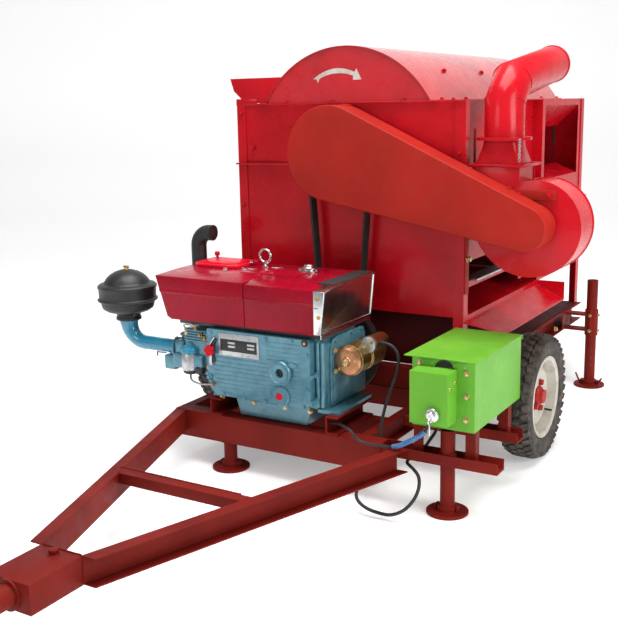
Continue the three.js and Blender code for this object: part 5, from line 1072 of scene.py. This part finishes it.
# %% Lifting eye, filler neck and cap
EYE_X, EYE_Y, NECK_X, NECK_Y = -300, -470, -56, -483
clamps = bolts([(-430, -612, 888), (-352, -572, 888), (-385, -460, 904)], "z", 17, 7)
clamps += [plate(strip, "z", 888.4, 892, 1) for strip in (
    [(-352, -560), (-300, -548), (-300, -530), (-352, -542)],
    [(-262, -480), (-205, -467), (-205, -449), (-262, -462)])]
eye_ring = wire_ring(30, 6.5, at(EYE_X, EYE_Y, 941), "-y", 16, 48)
eye_stem = turned_shape([(0, 0), (20, 0), (20, 6), (10, 8), (7, 12), (7, 19), (0, 19)],
                        at(EYE_X, EYE_Y, HOOD_TOP), "z", 24)
fit("lifting_eye", CHROME, [eye_ring, eye_stem, *clamps])
neck = [(24, 0), (46, 0), (47, 1), (47, 4), (38, 5.5), (30, 5.5), (30, 8.4), (24, 8.4), (24, 0)]
ears = [block(NECK_X + x, NECK_X + x + 10, NECK_Y - 11, NECK_Y + 11, 889, 899, 1.5) for x in (-49, 39)]
fit("filler_neck", CHROME, [turned_shape(neck, at(NECK_X, NECK_Y, HOOD_TOP), "z", 40), *ears])
cap = [(0, 0.2), (35, 0.2), (36, 2), (36, 9), (34, 10.5), (24, 11), (22, 13), (22, 19), (20, 21.5), (0, 22)]
fit("tank_cap_cover", CHROME, [turned_shape(cap, at(NECK_X, NECK_Y, 897.3), "z", 40)], "filler_cap",
    body="tank_cap")

# %% [markdown]
# The gear cover is cast, with half-round ribs about 20 mm apart across its face, a ring boss over the
# crank end, a plug with a red button, two tall columns, two studs and screws all round. The place of
# its data plate holds a blank one: a bright rim, a black field and four empty boxes.

# %% Ribs of the gear cover
RIB_TOP, RIB_PITCH, RIB_R, RIB_END = 634, 19.7, 2.6, 112
GEAR_FACE = -830.2


def rib(x0, x1, z):
    ends = [at(x, GEAR_FACE, z) for x in (x0, x1)]
    shape = rod(*ends, RIB_R, 12)
    for end in ends:
        bmesh.ops.create_icosphere(shape, subdivisions=1, radius=RIB_R / 1000,
                                   matrix=Matrix.Translation(end))
    return shape


def rib_spans(z):
    if z > 545:
        return [(-68, 104)]
    if z < 425:
        return [(-338 + (425 - z) * 0.5, -52), (52, RIB_END)]
    if z > 455:
        return [(-350, -56), (64, RIB_END)]
    return [(-344, RIB_END)]


ribs = []
for step in range(14):
    z = RIB_TOP - RIB_PITCH * step
    ribs += [rib(x0, x1, z) for x0, x1 in rib_spans(z)]

# %% Boss, plug, studs and screws
BOSS_X, BOSS_Z, PLUG_X, PLUG_Z, STUD_X, HUB_FACE = 6, 506, 4, 400, 158, -830.3
boss = [(30, 0), (50, 0), (53, 2), (54, 6), (54, 15), (51, 19), (45, 19), (42, 15), (41, 5), (30, 5),
        (29, 14), (26, 16), (23, 14), (22, 0)]
plug = [(31, 0), (40, 0), (43, 2), (43, 8), (39, 11), (35, 11), (32, 8), (31, 0)]
column = [(0, 0), (9, 0), (10, 2), (10, 282), (8, 285), (0, 285)]
stud = [(0, 0), (7, 0), (10, 2), (10, 12), (7, 13), (7, 66), (0, 66)]
cast_parts = [*ribs, turned_shape(boss, at(BOSS_X, HUB_FACE, BOSS_Z), "-y", 48),
              turned_shape(plug, at(PLUG_X, HUB_FACE, PLUG_Z), "-y", 44),
              plate([(34, 544), (52, 556), (86, 549), (92, 540), (60, 534), (48, 524)], "y", -841, -829, 3)]
cast_parts += [turned_shape(column, at(x, -785, 362), "z", 24) for x in (163, 186)]
cast_parts += [turned_shape(stud, at(STUD_X, -850, z), "y", 20) for z in (503, 390)]
cast_parts += [block(140, 170, -800, -784, z - 13, z + 13, 4) for z in (503, 390)]
fit("gear_cover_ribs", CAST_BLUE, cast_parts)
oil_screw = turned_shape([(0, 0), (16, 0), (16, 4), (11, 6), (0, 6)], at(126, -829.5, 648), "-y", 24)
# The two flat black discs are painted shade in the recess of the boss and round the plug; the oil screw
# beside them is plain black iron.
fit("cover_shade_discs_and_screw", BLACK_IRON, [disc(42, 0.8, at(BOSS_X, -830.4, BOSS_Z), "-y", 40),
                                disc(32, 0.9, at(PLUG_X, -830.4, PLUG_Z), "-y", 40), oil_screw])
button = [(0, 0), (16, 0), (17, 5), (15, 11), (9, 14), (0, 15)]
fit("oil_button", KNOB_RED, [turned_shape(button, at(-4, -831, 398), "-y", 28)])
SCREW_SPOTS = ((-362, 646), (-72, 648), (60, 650), (136, 596), (138, 440), (116, 366), (30, 364), (-80, 364),
               (-190, 364), (-300, 372), (-366, 420))
fit("cover_screws", CAST_BLUE, bolts([(x, HUB_FACE, z) for x, z in SCREW_SPOTS], "-y", 15, 7))
oil_pin = turned_shape([(0, 0), (7, 0), (7, 3), (4, 5), (0, 5)], at(126, -835, 648), "-y", 12)
fit("sump_bolts", BOLT_ZINC, [*bolts([(x, -786, 338) for x in (-344, -169, -5, 120)], "-y", 17, 9), oil_pin])

# %% Blank data plate
PLATE_FACE = -834
plate_parts = [block(-320, -106, PLATE_FACE, PLATE_FACE + 4, 548, 650, 2)]
plate_parts += [turned_shape([(0, 2.4), (3.4, 1.8), (4.2, 0)], at(x, PLATE_FACE, z), "-y", 12)
                for x in (-311, -115) for z in (556, 642)]
plate_parts += [block(x, x + 38, -835.3, -834.6, z, z + 9, 0.4) for x in (-268, -166) for z in (588, 604)]
fit("bare_name_plate", GREY_ZINC, plate_parts)
fit("plate_field", BLACK_IRON, [block(-310, -116, -834.8, -833.5, 570, 624, 0.3)])

# %% [markdown]
# The head side holds a ribbed head, its rounded rocker cover, a pump and a fuel filter with a painted
# cap over a pale bowl. Brass unions and thin bent lines join them.

# %% Cylinder head, rocker cover, ports, pump and breather
HEAD_BLOCKS = ((-545, -391.3, -792, -470, 440, 640, 10, 3), (-603.5, -540, -752, -512, 470, 610, 22, 5),
               (-572, -566, -756, -508, 466, 614, 3), (-603.8, -548, -800, -716, 496, 578, 16, 4),
               (-600, -430, -816, -786, 452, 520, 8, 3), (-754, -540, -468, -392, 522, 559.7, 9, 3),
               (-545, -470, -472, -430, 522, 559.7, 4), (-662, -596, -802, -736, 434, 502, 9, 3),
               (-716, -660, -790, -783, 503, 509, 1.5), (-716, -710, -790, -783, 486, 506, 1.5))
fins = [block(-540, -396, -799, -790, z, z + 5, 1.4) for z in range(584, 636, 12)]
fit("head_castings", CAST_BLUE, [*[block(*sizes) for sizes in HEAD_BLOCKS], *fins], "cylinder_head")

# %% Fuel filter, unions and fuel lines
FILTER_X, FILTER_Y = -512, -792
filter_foot_at = at(FILTER_X, FILTER_Y, 430)
filter_cap = [(0, 98), (43, 98), (46, 101), (46, 112), (42, 122), (28, 132), (15, 136), (15, 144), (0, 144)]
filter_bowl = [(0, 14), (34, 14), (40, 20), (43, 30), (43, 96), (41, 98), (0, 98)]
filter_foot = [(0, 0), (28, 0), (35, 5), (37, 16), (0, 16)]
fit("filter_cap", PIPE_BLUE, [turned_shape(filter_cap, filter_foot_at, "z", 40),
                              block(-552, -472, -806, -784, 530, 548, 5)])
fit("filter_bowl", GREY_ZINC, [turned_shape(filter_bowl, filter_foot_at, "z", 40)], sharp=50)
fit("filter_foot", BLACK_IRON, [turned_shape(filter_foot, filter_foot_at, "z", 32),
                                block(-470, -428, -822, -790, 436, 470, 8, 3)])
union = [(0, 0), (10, 0), (10, 7), (7, 8), (7, 18), (0, 18)]
fit("brass_unions", BRASS, [turned_shape(union, at(*spot), axis, 6) for spot, axis in (
    ((-357, HUB_FACE, 410), "-y"), ((-440, -800, 618), "-y"), ((-470, -800, 640), "z"),
    ((-412, -800, 604), "-y"))])
nut = [(0, 0), (13, 0), (13, 10), (9, 12), (9, 20), (0, 20)]
fit("union_nuts", CAST_BLUE, [turned_shape(nut, at(*spot), "-y", 6)
                              for spot in ((-392, -812, 452), (-374, HUB_FACE, 440))])
fuel_line = through((FILTER_X, FILTER_Y, 436), (-510, -800, 424), (-500, -812, 408), (-470, -822, 398),
                    (-425, -832, 398), (-386, -842, 404), (-357, -844, 410))
dress(round_line("fuel_line", fuel_line, 9), GREY_ZINC)
pressure_line = through((-470, -800, 652), (-470, -806, 660), (-500, -806, 660), (-560, -770, 648),
                        (-590, -730, 626), (-598, -700, 608))
dress(round_line("pressure_line", pressure_line, 7), GREY_ZINC)
head_bolts = bolts([(-603.5, y, z) for y in (-728, -534) for z in (496, 590)], "-x", 15, 8)
head_bolts += bolts([(-526, -792, 620), (-410, -792, 470), (-410, -792, 540)], "-y", 17, 9)
fit("head_bolts", BOLT_ZINC, head_bolts)

# %% [markdown]
# The air cleaner is two pressed bowls with a rolled seam and a wing nut, so its half profile is spun.
# Its pipe swells towards the cleaner: a curve can give each of its points its own width. The exhaust
# elbow is a bent tube with an even width.

# %% Air cleaner with its wing nut
CLEANER_X, CLEANER_Y, INTAKE_Z, BEND_R = -900, -760, 536, 96
CLEANER = [(0, 0), (58, 0), (60, 2), (60, 12), (57, 14), (56, 26), (66, 34), (100, 44), (118, 56), (123, 66),
           (127, 88), (139, 94), (142, 97), (142, 102), (137, 105), (134, 108), (136, 150), (140, 158),
           (139, 166), (132, 172), (116, 175), (110, 178), (106, 186), (96, 201), (80, 216), (58, 229),
           (32, 238), (10, 241), (0, 241)]
bowls = turned_shape(CLEANER, at(CLEANER_X, CLEANER_Y, 640.3), "z", 80)
fit("air_cleaner_bowls", BLACK_IRON, [bowls, block(-836, -822, -804, -786, 668, 700, 3)], "air_cleaner",
    sharp=40)
wing_nut = [(0, 0), (12, 0), (11, 3), (7, 6), (6, 18), (0, 19)]
fit("wing_nut", BRASS, [turned_shape(wing_nut, at(CLEANER_X, CLEANER_Y, 880.5), "z", 16),
                        block(CLEANER_X - 17, CLEANER_X + 17, -762.5, -757.5, 888, 898, 1.6)])

# %% Intake pipe
def quarter_bend(radius, steps):
    turns = [math.pi / 2 * k / steps for k in range(steps + 1)]
    return turns, [(radius * (1 - math.cos(t)), radius * math.sin(t)) for t in turns]


intake_arc, bend = quarter_bend(BEND_R, 14)
intake_line = [at(CLEANER_X, CLEANER_Y, 639.8)]
intake_line += [at(CLEANER_X + over, CLEANER_Y, INTAKE_Z + BEND_R - rise) for over, rise in bend]
intake_line += [at(x, CLEANER_Y, INTAKE_Z) for x in (-760, -700, -650, -604)]
swell = [1.44] + [1.44 - 0.36 * math.sin(t) ** 0.8 for t in intake_arc] + [1.06, 1.04, 1.06, 1.1]
dress(round_line("intake_tube", intake_line, 62, 10, swell), PIPE_BLUE, "intake_pipe")
PORT_X = -613
fit("intake_flange", CAST_BLUE, [ring_plate(33, 46, 0, 9, at(PORT_X, CLEANER_Y, INTAKE_Z), "x", 36),
                                 *bolts([(PORT_X, CLEANER_Y, z) for z in (575, 497)], "-x", 13, 8)])

# %% Exhaust elbow
EXHAUST_X, EXHAUST_Y, EXHAUST_FOOT, ELBOW_TOP, ELBOW_R = -716, -430, 560, 1028, 66
exhaust_line = [at(EXHAUST_X, EXHAUST_Y, z) for z in (EXHAUST_FOOT, 700, 850)]
exhaust_line += [at(EXHAUST_X + over, EXHAUST_Y, ELBOW_TOP - ELBOW_R + rise)
                 for over, rise in quarter_bend(ELBOW_R, 12)[1]]
exhaust_line += [at(-628, EXHAUST_Y, ELBOW_TOP)]
dress(round_line("exhaust_tube", exhaust_line, 76, 10), BLACK_IRON, "exhaust_elbow")
exhaust_foot = at(EXHAUST_X, EXHAUST_Y, EXHAUST_FOOT)
fit("exhaust_flange", BLACK_IRON, [ring_plate(34, 38, 0, 4, at(-630, EXHAUST_Y, ELBOW_TOP), "x", 40),
                                   ring_plate(38, 53, 0, 10, exhaust_foot, "z", 36)])

# %% [markdown]
# The starter is zinc-plated and yellow with age, with a coppery end cap and nuts. Its solenoid sits
# above it. A cast cover plate closes the crankcase behind them, and the flywheel carries a ring gear.

# %% Side plate with its bolts
SIDE_FACE, LIP_SHARE = 199, 0.9
side_outline = [(-736, 356), (-736, 610), (-716, 648), (-680, 656), (-470, 656), (-440, 650),
                (-424, 620), (-424, 356)]
side_lip = [(y * LIP_SHARE - 58, z * LIP_SHARE + 50) for y, z in side_outline]
fit("crankcase_side_plate", CAST_BLUE, [plate(side_outline, "x", 190, SIDE_FACE, 3),
                                        plate(side_lip, "x", SIDE_FACE - 1, SIDE_FACE + 4, 2)])
SIDE_BOLTS = ((-722, 590), (-722, 450), (-700, 640), (-560, 648), (-470, 646))
fit("side_bolts", CAST_BLUE, bolts([(SIDE_FACE, y, z) for y, z in SIDE_BOLTS], "x", 15, 8))

# %% Starter motor and solenoid
STARTER_X, STARTER_Z, COIL_X, COIL_Z = 266, 560, 324, 620
starter = [(0, 0), (60, 0), (65, 3), (65, 92), (62, 94), (62, 102), (65, 104), (65, 232), (58, 240),
           (46, 244), (46, 278), (40, 282), (0, 282)]
band = [(65, 0), (67.5, 0.8), (67.5, 15), (65, 16), (65, 0)]
solenoid = [(0, 0), (30, 0), (33, 3), (33, 106), (30, 120), (22, 138), (0, 140)]
starter_parts = [turned_shape(starter, at(STARTER_X, -712, STARTER_Z), "y", 56)]
starter_parts += [turned_shape(band, at(STARTER_X, y, STARTER_Z), "y", 56) for y in (-700, -600)]
starter_parts += [turned_shape(solenoid, at(COIL_X, -622, COIL_Z), "y", 40),
                  block(190.3, 262, -490, -472, 512, 610, 5), block(292, 322, -600, -520, 590, 622, 5)]
fit("starter_body", ("brass", gold_zinc_steel), starter_parts, "starter_motor", sharp=40)
coil_end = [(0, 0), (28, 0), (34, 2), (35, 6), (35, 18), (0, 18)]
fit("solenoid_end", GREY_ZINC, [turned_shape(coil_end, at(COIL_X, -640, COIL_Z), "y", 40)])
end_cap = [(0, 0), (18, 0), (20, 3), (46, 4), (60, 7), (65, 12), (65, 18), (0, 18)]
fit("starter_cap", ("brass", copper_cap_metal),
    [turned_shape(end_cap, at(STARTER_X, -728, STARTER_Z), "y", 56)], sharp=40)
studs = [turned_shape([(0, 0), (16, 0), (17, 3), (15, 9), (8, 12), (0, 13)], at(262, -726, 556), "-y", 24),
         turned_shape([(0, 0), (7, 0), (7, 4), (0, 5)], at(308, -722, 566), "-y", 12),
         turned_shape([(0, 0), (6, 0), (6, 4), (0, 5)], at(230, -722, 524), "-y", 12)]
studs += bolts([(340, -640, 634), (308, -640, 608)], "-y", 13, 14)
studs += bolts([(214, -726, 512), (214, -726, 604)], "-y", 15, 8)
fit("starter_nuts", ("brass", zinc_bolt_steel), studs)
coil_lead = through((308, -656, 608), (302, -666, 596), (288, -668, 592), (272, -660, 600), (262, -640, 622))
dress(round_line("coil_lead", coil_lead, 8), ("black_plastic", cable_rubber))
terminal_boot = turned_shape([(7.2, 0), (10, 1), (10, 14), (7.2, 16), (7.2, 0)], starter_line[0], "x", 20)
fit("terminal_boot", BLACK_RUBBER, [terminal_boot])

# %% Ring gear of the flywheel
TEETH, TOOTH_M, TOOTH_CIRCLE_M = 96, (0.0065, 0.014, 0.008), 0.2235
teeth = bmesh.new()
for k in range(TEETH):
    tooth = bmesh.ops.create_cube(teeth, size=1.0)["verts"]
    bmesh.ops.scale(teeth, vec=TOOTH_M, verts=tooth)
    bmesh.ops.translate(teeth, vec=(0, 0, TOOTH_CIRCLE_M), verts=tooth)
    turn = Matrix.Rotation(2 * math.pi * k / TEETH, 3, "Y")
    bmesh.ops.rotate(teeth, cent=(0, 0, 0), matrix=turn, verts=tooth)
bmesh.ops.translate(teeth, vec=at(0, -358, 505), verts=teeth.verts)
fit("ring_gear", ("iron", dark_iron), [teeth], body="crankshaft")

# %% [markdown]
# The throttle has a red five-lobed knob on a bright arm, and turns with its own body in front of a
# bright curved quadrant. The engine stands on the rails with one bolt through each foot.

# %% Quadrant, speed lever and engine bolts
LEVER_X, LEVER_Z, QUADRANT_Y, KNOB_Z, LOBES = -360, 502, -834, 566, 5
quadrant = [(-340, 626), (-356, 606), (-368, 572), (-369, 540), (-362, 512), (-352, 498)]
# The thick black band beside the bright rail is painted shade inside the quadrant's slot.
quadrant_slot_shade = [(-334, 618), (-344, 600), (-352, 572), (-352, 540), (-346, 512)]
for name, route, width, look in (("quadrant_rail", quadrant, 9, CHROME),
                                 ("quadrant_slot_shade", quadrant_slot_shade, 14, BLACK_IRON)):
    dress(round_line(name, through(*[(x, QUADRANT_Y, z) for x, z in route]), width), look)
lever_arm = block(LEVER_X - 7, LEVER_X + 7, -844, -839.5, 496, KNOB_Z, 1.5)
lever_boss = [(0, 0), (6, 0), (7, 2), (7, 12), (5, 14), (0, 14)]
fit("throttle_arm", GREY_ZINC, [lever_arm, turned_shape(lever_boss, at(LEVER_X, -831, LEVER_Z), "-y", 20)],
    body="throttle")


def lobed_outline(points=50):
    turns = [2 * math.pi * k / points for k in range(points)]
    reach = [26 - 7 * (0.5 + 0.5 * math.cos(LOBES * t)) ** 3 for t in turns]
    return [(LEVER_X + r * math.cos(t), KNOB_Z + r * math.sin(t)) for r, t in zip(reach, turns)]


knob = softened_shape(plate(lobed_outline(), "y", -843.5, -859.5), 3, 3, 60)
fit("throttle_knob", KNOB_RED, [knob], "speed_lever", body="throttle")
fit("foot_bolts", BOLT_ZINC, bolts([(x, y, 331.5) for x in (-372, 236) for y in (-752, -512)], "z", 26, 15))

# %% [markdown]
# ## The battery box
# The box is thin green sheet on four angle legs in frame red. The CAD walls are copied and cut in two
# at the box's bottom, because one piece carries one paint. Hinges, bolts, grommet and the key come
# last. The lid rides on its own body.

# %% Green walls and red legs
BOX_BOTTOM, BOX_FRONT = 359.8, -796.2


def cut_copy(keep_top):
    shape = bmesh.new()
    shape.from_mesh(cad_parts["battery_box"].data)
    bmesh.ops.remove_doubles(shape, verts=shape.verts, dist=EXACT_M)
    cut = bmesh.ops.bisect_plane(shape, geom=all_of(shape), plane_co=at(0, 0, BOX_BOTTOM),
                                 plane_no=(0, 0, 1), clear_outer=not keep_top, clear_inner=keep_top)
    bmesh.ops.holes_fill(shape, edges=edges_in(cut["geom_cut"]), sides=0)
    return shape


fit("box_walls", BOX_GREEN, [cut_copy(True)], "battery_box", sharp=25)
fit("box_legs", FRAME_RED, [cut_copy(False)], sharp=25)
dress(softened("box_lid", 0.6), BOX_GREEN, "box_lid", body="lid")
dress(softened("control_box", 1.2), BOX_GREEN, "control_box")
hinges = [block(x, x + 70, BOX_FRONT - 2, BOX_FRONT, 612, 638, 0.6) for x in (636, 771)]
hinges += [rod(at(x, -801.3, 645.3), at(x + 21, -801.3, 645.3), 5.6, 16)
           for x in (637, 660, 683, 772, 795, 818)]
fit("hinge_leaves", BOX_GREEN, hinges)
dome = [(0, 0), (4.5, 0), (4, 1.6), (0, 2.2)]
fit("hinge_screws", BOLT_ZINC, [turned_shape(dome, at(x, BOX_FRONT - 2, 622), "-y", 16)
                                for x in (650, 692, 785, 827)])

# %% Bolts, grommet, lock and key
LOCK_X, LOCK_Y = 739, -902
wall_bolts = bolts([(x, BOX_FRONT, z) for x, z in ((836, 598), (836, 505), (836, 410), (640, 620),
                                                   (640, 385))], "-y", 17, 9)
wall_bolts += [turned_shape([(0, 0), (8, 0), (7, 3), (0, 5)], at(797, y, z), "x", 20)
               for y, z in ((-815, 560), (-868, 548))]
fit("box_bolts", BOLT_ZINC, wall_bolts)
grommet = [(0, 0.6), (30, 0.6), (33, 3.5), (38, 4), (40, 2), (40, 0), (0, 0)]
fit("cable_grommet", BLACK_RUBBER, [turned_shape(grommet, at(744, BOX_FRONT, 604), "-y", 40)])
lock = [(0, 0), (27, 0), (28, 2), (28, 5), (25, 8), (19, 9), (18, 20), (15, 23), (0, 23)]
fit("lock_barrel", CHROME, [turned_shape(lock, at(LOCK_X, LOCK_Y, 447), "-y", 40)])
key_parts = [block(735.5, 742.5, -929, -914, 442, 452),
             wire_ring(13, 3.2, at(LOCK_X, LOCK_Y - 25, 430), "x", 12, 28),
             block(736, 742, -929.5, -925.5, 372, 414, 0.8), block(738, 740, -931, -924, 404, 420, 0.5)]
fit("key_with_spare", CHROME, key_parts, "ignition_key", body="key")

# %% [markdown]
# The battery stands inside: a moulded case, a lighter lid with six round caps, and two lead posts
# with clamps. It is only seen when the box lid is open.

# %% Battery and the blue sleeve of the thin cable
CASE_SIDES = (652.5, 824.5, -695, -365)
case_ribs = [block(650.6, 826.4, y, y + 5, 372, 548) for y in range(-680, -370, 30)]
fit("battery_case", ("black_plastic", battery_plastic),
    [block(*CASE_SIDES, 363.3, 560, 4), *case_ribs, block(*CASE_SIDES, 562, 584, 4)], "battery")
cell_cap = [(0, 0), (15, 0), (15, 5), (12, 7), (0, 7)]
fit("battery_caps", KNOB_RED, [turned_shape(cell_cap, at(738, y, 584), "z", 24)
                               for y in range(-655, -380, 50)])
POST_SPOTS = (-660, -400)
posts = [turned_shape([(0, 0), (9, 0), (8, 15), (0, 15)], at(680, y, 584), "z", 20) for y in POST_SPOTS]
post_clamps = [block(664, 696, y - 14, y + 14, 585, 594, 2) for y in POST_SPOTS]
fit("battery_posts", GREY_ZINC, [*posts, *post_clamps])
sleeve_line = [p for p in control_line if at(540, 0, 0).x < p.x < at(690, 0, 0).x]
dress(round_line("blue_sleeve", sleeve_line, 21, 8), ("black_plastic", blue_sleeve_plastic))

# %% [markdown]
# ## Small parts of the sheller's body
# Folded ledges stiffen the front, and bolts hold the cover down. A white painted arrow on the cover's
# end shows the way the drum turns. It is a slice of a ring with a notched tail and a pointed head.

# %% Ledges, and a floor sheet and front skirt in painted shade
WALL_FACE = -240.2
ledges = [block(-480, 597, -251, WALL_FACE, 1629, 1637), block(-596, -205, -262, WALL_FACE, 1347, 1355),
          block(-598, -478, -239, -235.5, 1628, 1660, 0.5)]
fit("front_ledges", BODY_RED, ledges)
# The floor sheet and the front skirt are dark maroon as painted shade: they close the view under the body,
# where there is only shade.
fit("shade_sheets_under_body", ("body_red", shade_maroon_enamel), [block(-600, 600, -185, 1560, 425.6, 428.6, 0.5),
                                                  block(-556, 556, -185.6, -182.6, 429, 690, 0.5)])

# %% Turning arrow
ARROW_X, ARROW_Z, ARROW_TOP = -32, 1560, 92


def arc_point(radius, degrees):
    x, z = on_circle(radius, math.radians(degrees))
    return ARROW_X + x, ARROW_Z + z


arrow = [arc_point(228 - 4 * abs(d - ARROW_TOP) / 34, d) for d in range(126, 67, -2)]
arrow += [arc_point(*tip) for tip in ((243, 67), (212, 55.5), (190, 66))]
arrow += [arc_point(205 + 3 * abs(d - ARROW_TOP) / 34, d) for d in range(68, 120, 2)]
arrow += [arc_point(*tail) for tail in ((196, 123), (214, 122))]
fit("turning_arrow", RIM_WHITE, [plate(arrow, "y", -232.9, -232.1)])

# %% Bolts on the cover and the body
def cover_bolt(degrees, y):
    x, z = on_circle(1, math.radians(degrees))
    out = Vector((x, 0, z))
    return bolt(at(0, y, COVER_Z) + out * COVER_R / 1000, out, 17, 9)


body_bolts = bolts([(x, -246, 1637) for x in (-317, -67, 298, 540)], "z", 13, 7)
body_bolts += bolts([(x, WALL_FACE, z) for x, z in ((-572, 1592), (-505, 1430), (-572, 1150), (568, 1410))],
                    "-y", 15, 8)
body_bolts += [cover_bolt(d, y) for d in (50, 130) for y in (160, 640, 1120)]
body_bolts += bolts([(x, y, 1638.3) for x in (-445, 445) for y in range(-150, 1550, 280)], "z", 15, 8)
body_bolts += bolts([(850, -262, 1243), (974, -262, 1243)], "-y", 19, 10)
fit("body_bolts", BODY_RED, body_bolts)
steel_bolts = bolts([(620, 1064, 365), (620, 300, 365)], "x", 19, 12)
steel_bolts += bolts([(-620, 1064, 365)], "-x", 19, 12)
fit("steel_bolts", BOLT_ZINC, [*steel_bolts, *bolts([(601, -215, 948)], "x", 22, 14)])

# %% Brackets on the right side
BRACKETS = ((796, 1002, -262, -250.3, 1222, 1262, 1.5), (764, 812, -296, -250.3, 1216, 1274, 3),
            (596, 604, -154, -138, 1366, 1514, 2), (595.3, 601, -236, -196, 790, 1090, 1.5))
fit("side_brackets", ("body_red", brick_enamel), [block(*sizes) for sizes in BRACKETS])
# Two thin black blocks on the bracket are painted shade standing for its slots.
fit("slot_shades", BLACK_IRON, [block(600.6, 601.6, -221, -211, z, z + 46, 0.4) for z in (1020, 860)])

# %% [markdown]
# A short chain hangs from the flange of the square-to-round collar. Each link is a ring stretched to
# an oval, and every second link is turned by a quarter.

# %% Chain
LINKS, LINK_PITCH, LINK_STRETCH = 9, 9.5, 1.5
links = []
for k in range(LINKS):
    link = wire_ring(5, 1.3, (0, 0, 0), "x" if k % 2 else "y", 8, 16)
    bmesh.ops.scale(link, vec=(1, 1, LINK_STRETCH), verts=link.verts)
    bmesh.ops.translate(link, vec=at(836, -243, 1462 - LINK_PITCH * k), verts=link.verts)
    links.append(link)
fit("collar_chain", GREY_ZINC, links)

# %% Pins of the rear feet, and painted shade for the holes of the rear legs
REAR_X, REAR_Y = 764, 1284
for name, hand in HANDS:
    x, body = hand * REAR_X, "prop_rear_" + name
    pins = [rod(at(x - 46, 1264, 12), at(x - 68, 1244, 76), 5, 12),
            rod(at(x + 48, 1276, 12), at(x + 74, 1272, 50), 5, 12)]
    fit("foot_pins_" + name, FRAME_RED, pins, body=body)
    # Flat black discs on each rear leg are painted shade standing for its pin holes.
    holes = [disc(7, 1, at(x + 14.6, REAR_Y - 26.1, z), (0.49, -0.87, 0), 16) for z in (125, 170, 215)]
    fit("leg_hole_shades_" + name, BLACK_IRON, holes, body=body)

# %% [markdown]
# Last, the floor gets its paper.

# %% Floor paper
pale = bpy.data.materials.new("pale_studio_paper")
pale.use_nodes = True
paper_skin = pale.node_tree.nodes["Principled BSDF"]
paper = add_node(pale.node_tree, "ShaderNodeTexNoise", {"Scale": 1.2, "Detail": 2.0})
paper_tone = mix_colours(pale.node_tree, paper.outputs["Fac"], "f4f4f4", "ececec")
pale.node_tree.links.new(paper_tone, paper_skin.inputs["Base Color"])
paper_skin.inputs["Roughness"].default_value = 0.7
paper_skin.inputs["Emission Color"].default_value = (1, 1, 1, 1)
paper_skin.inputs["Emission Strength"].default_value = 0.3
studio_floor.data.materials.append(pale)
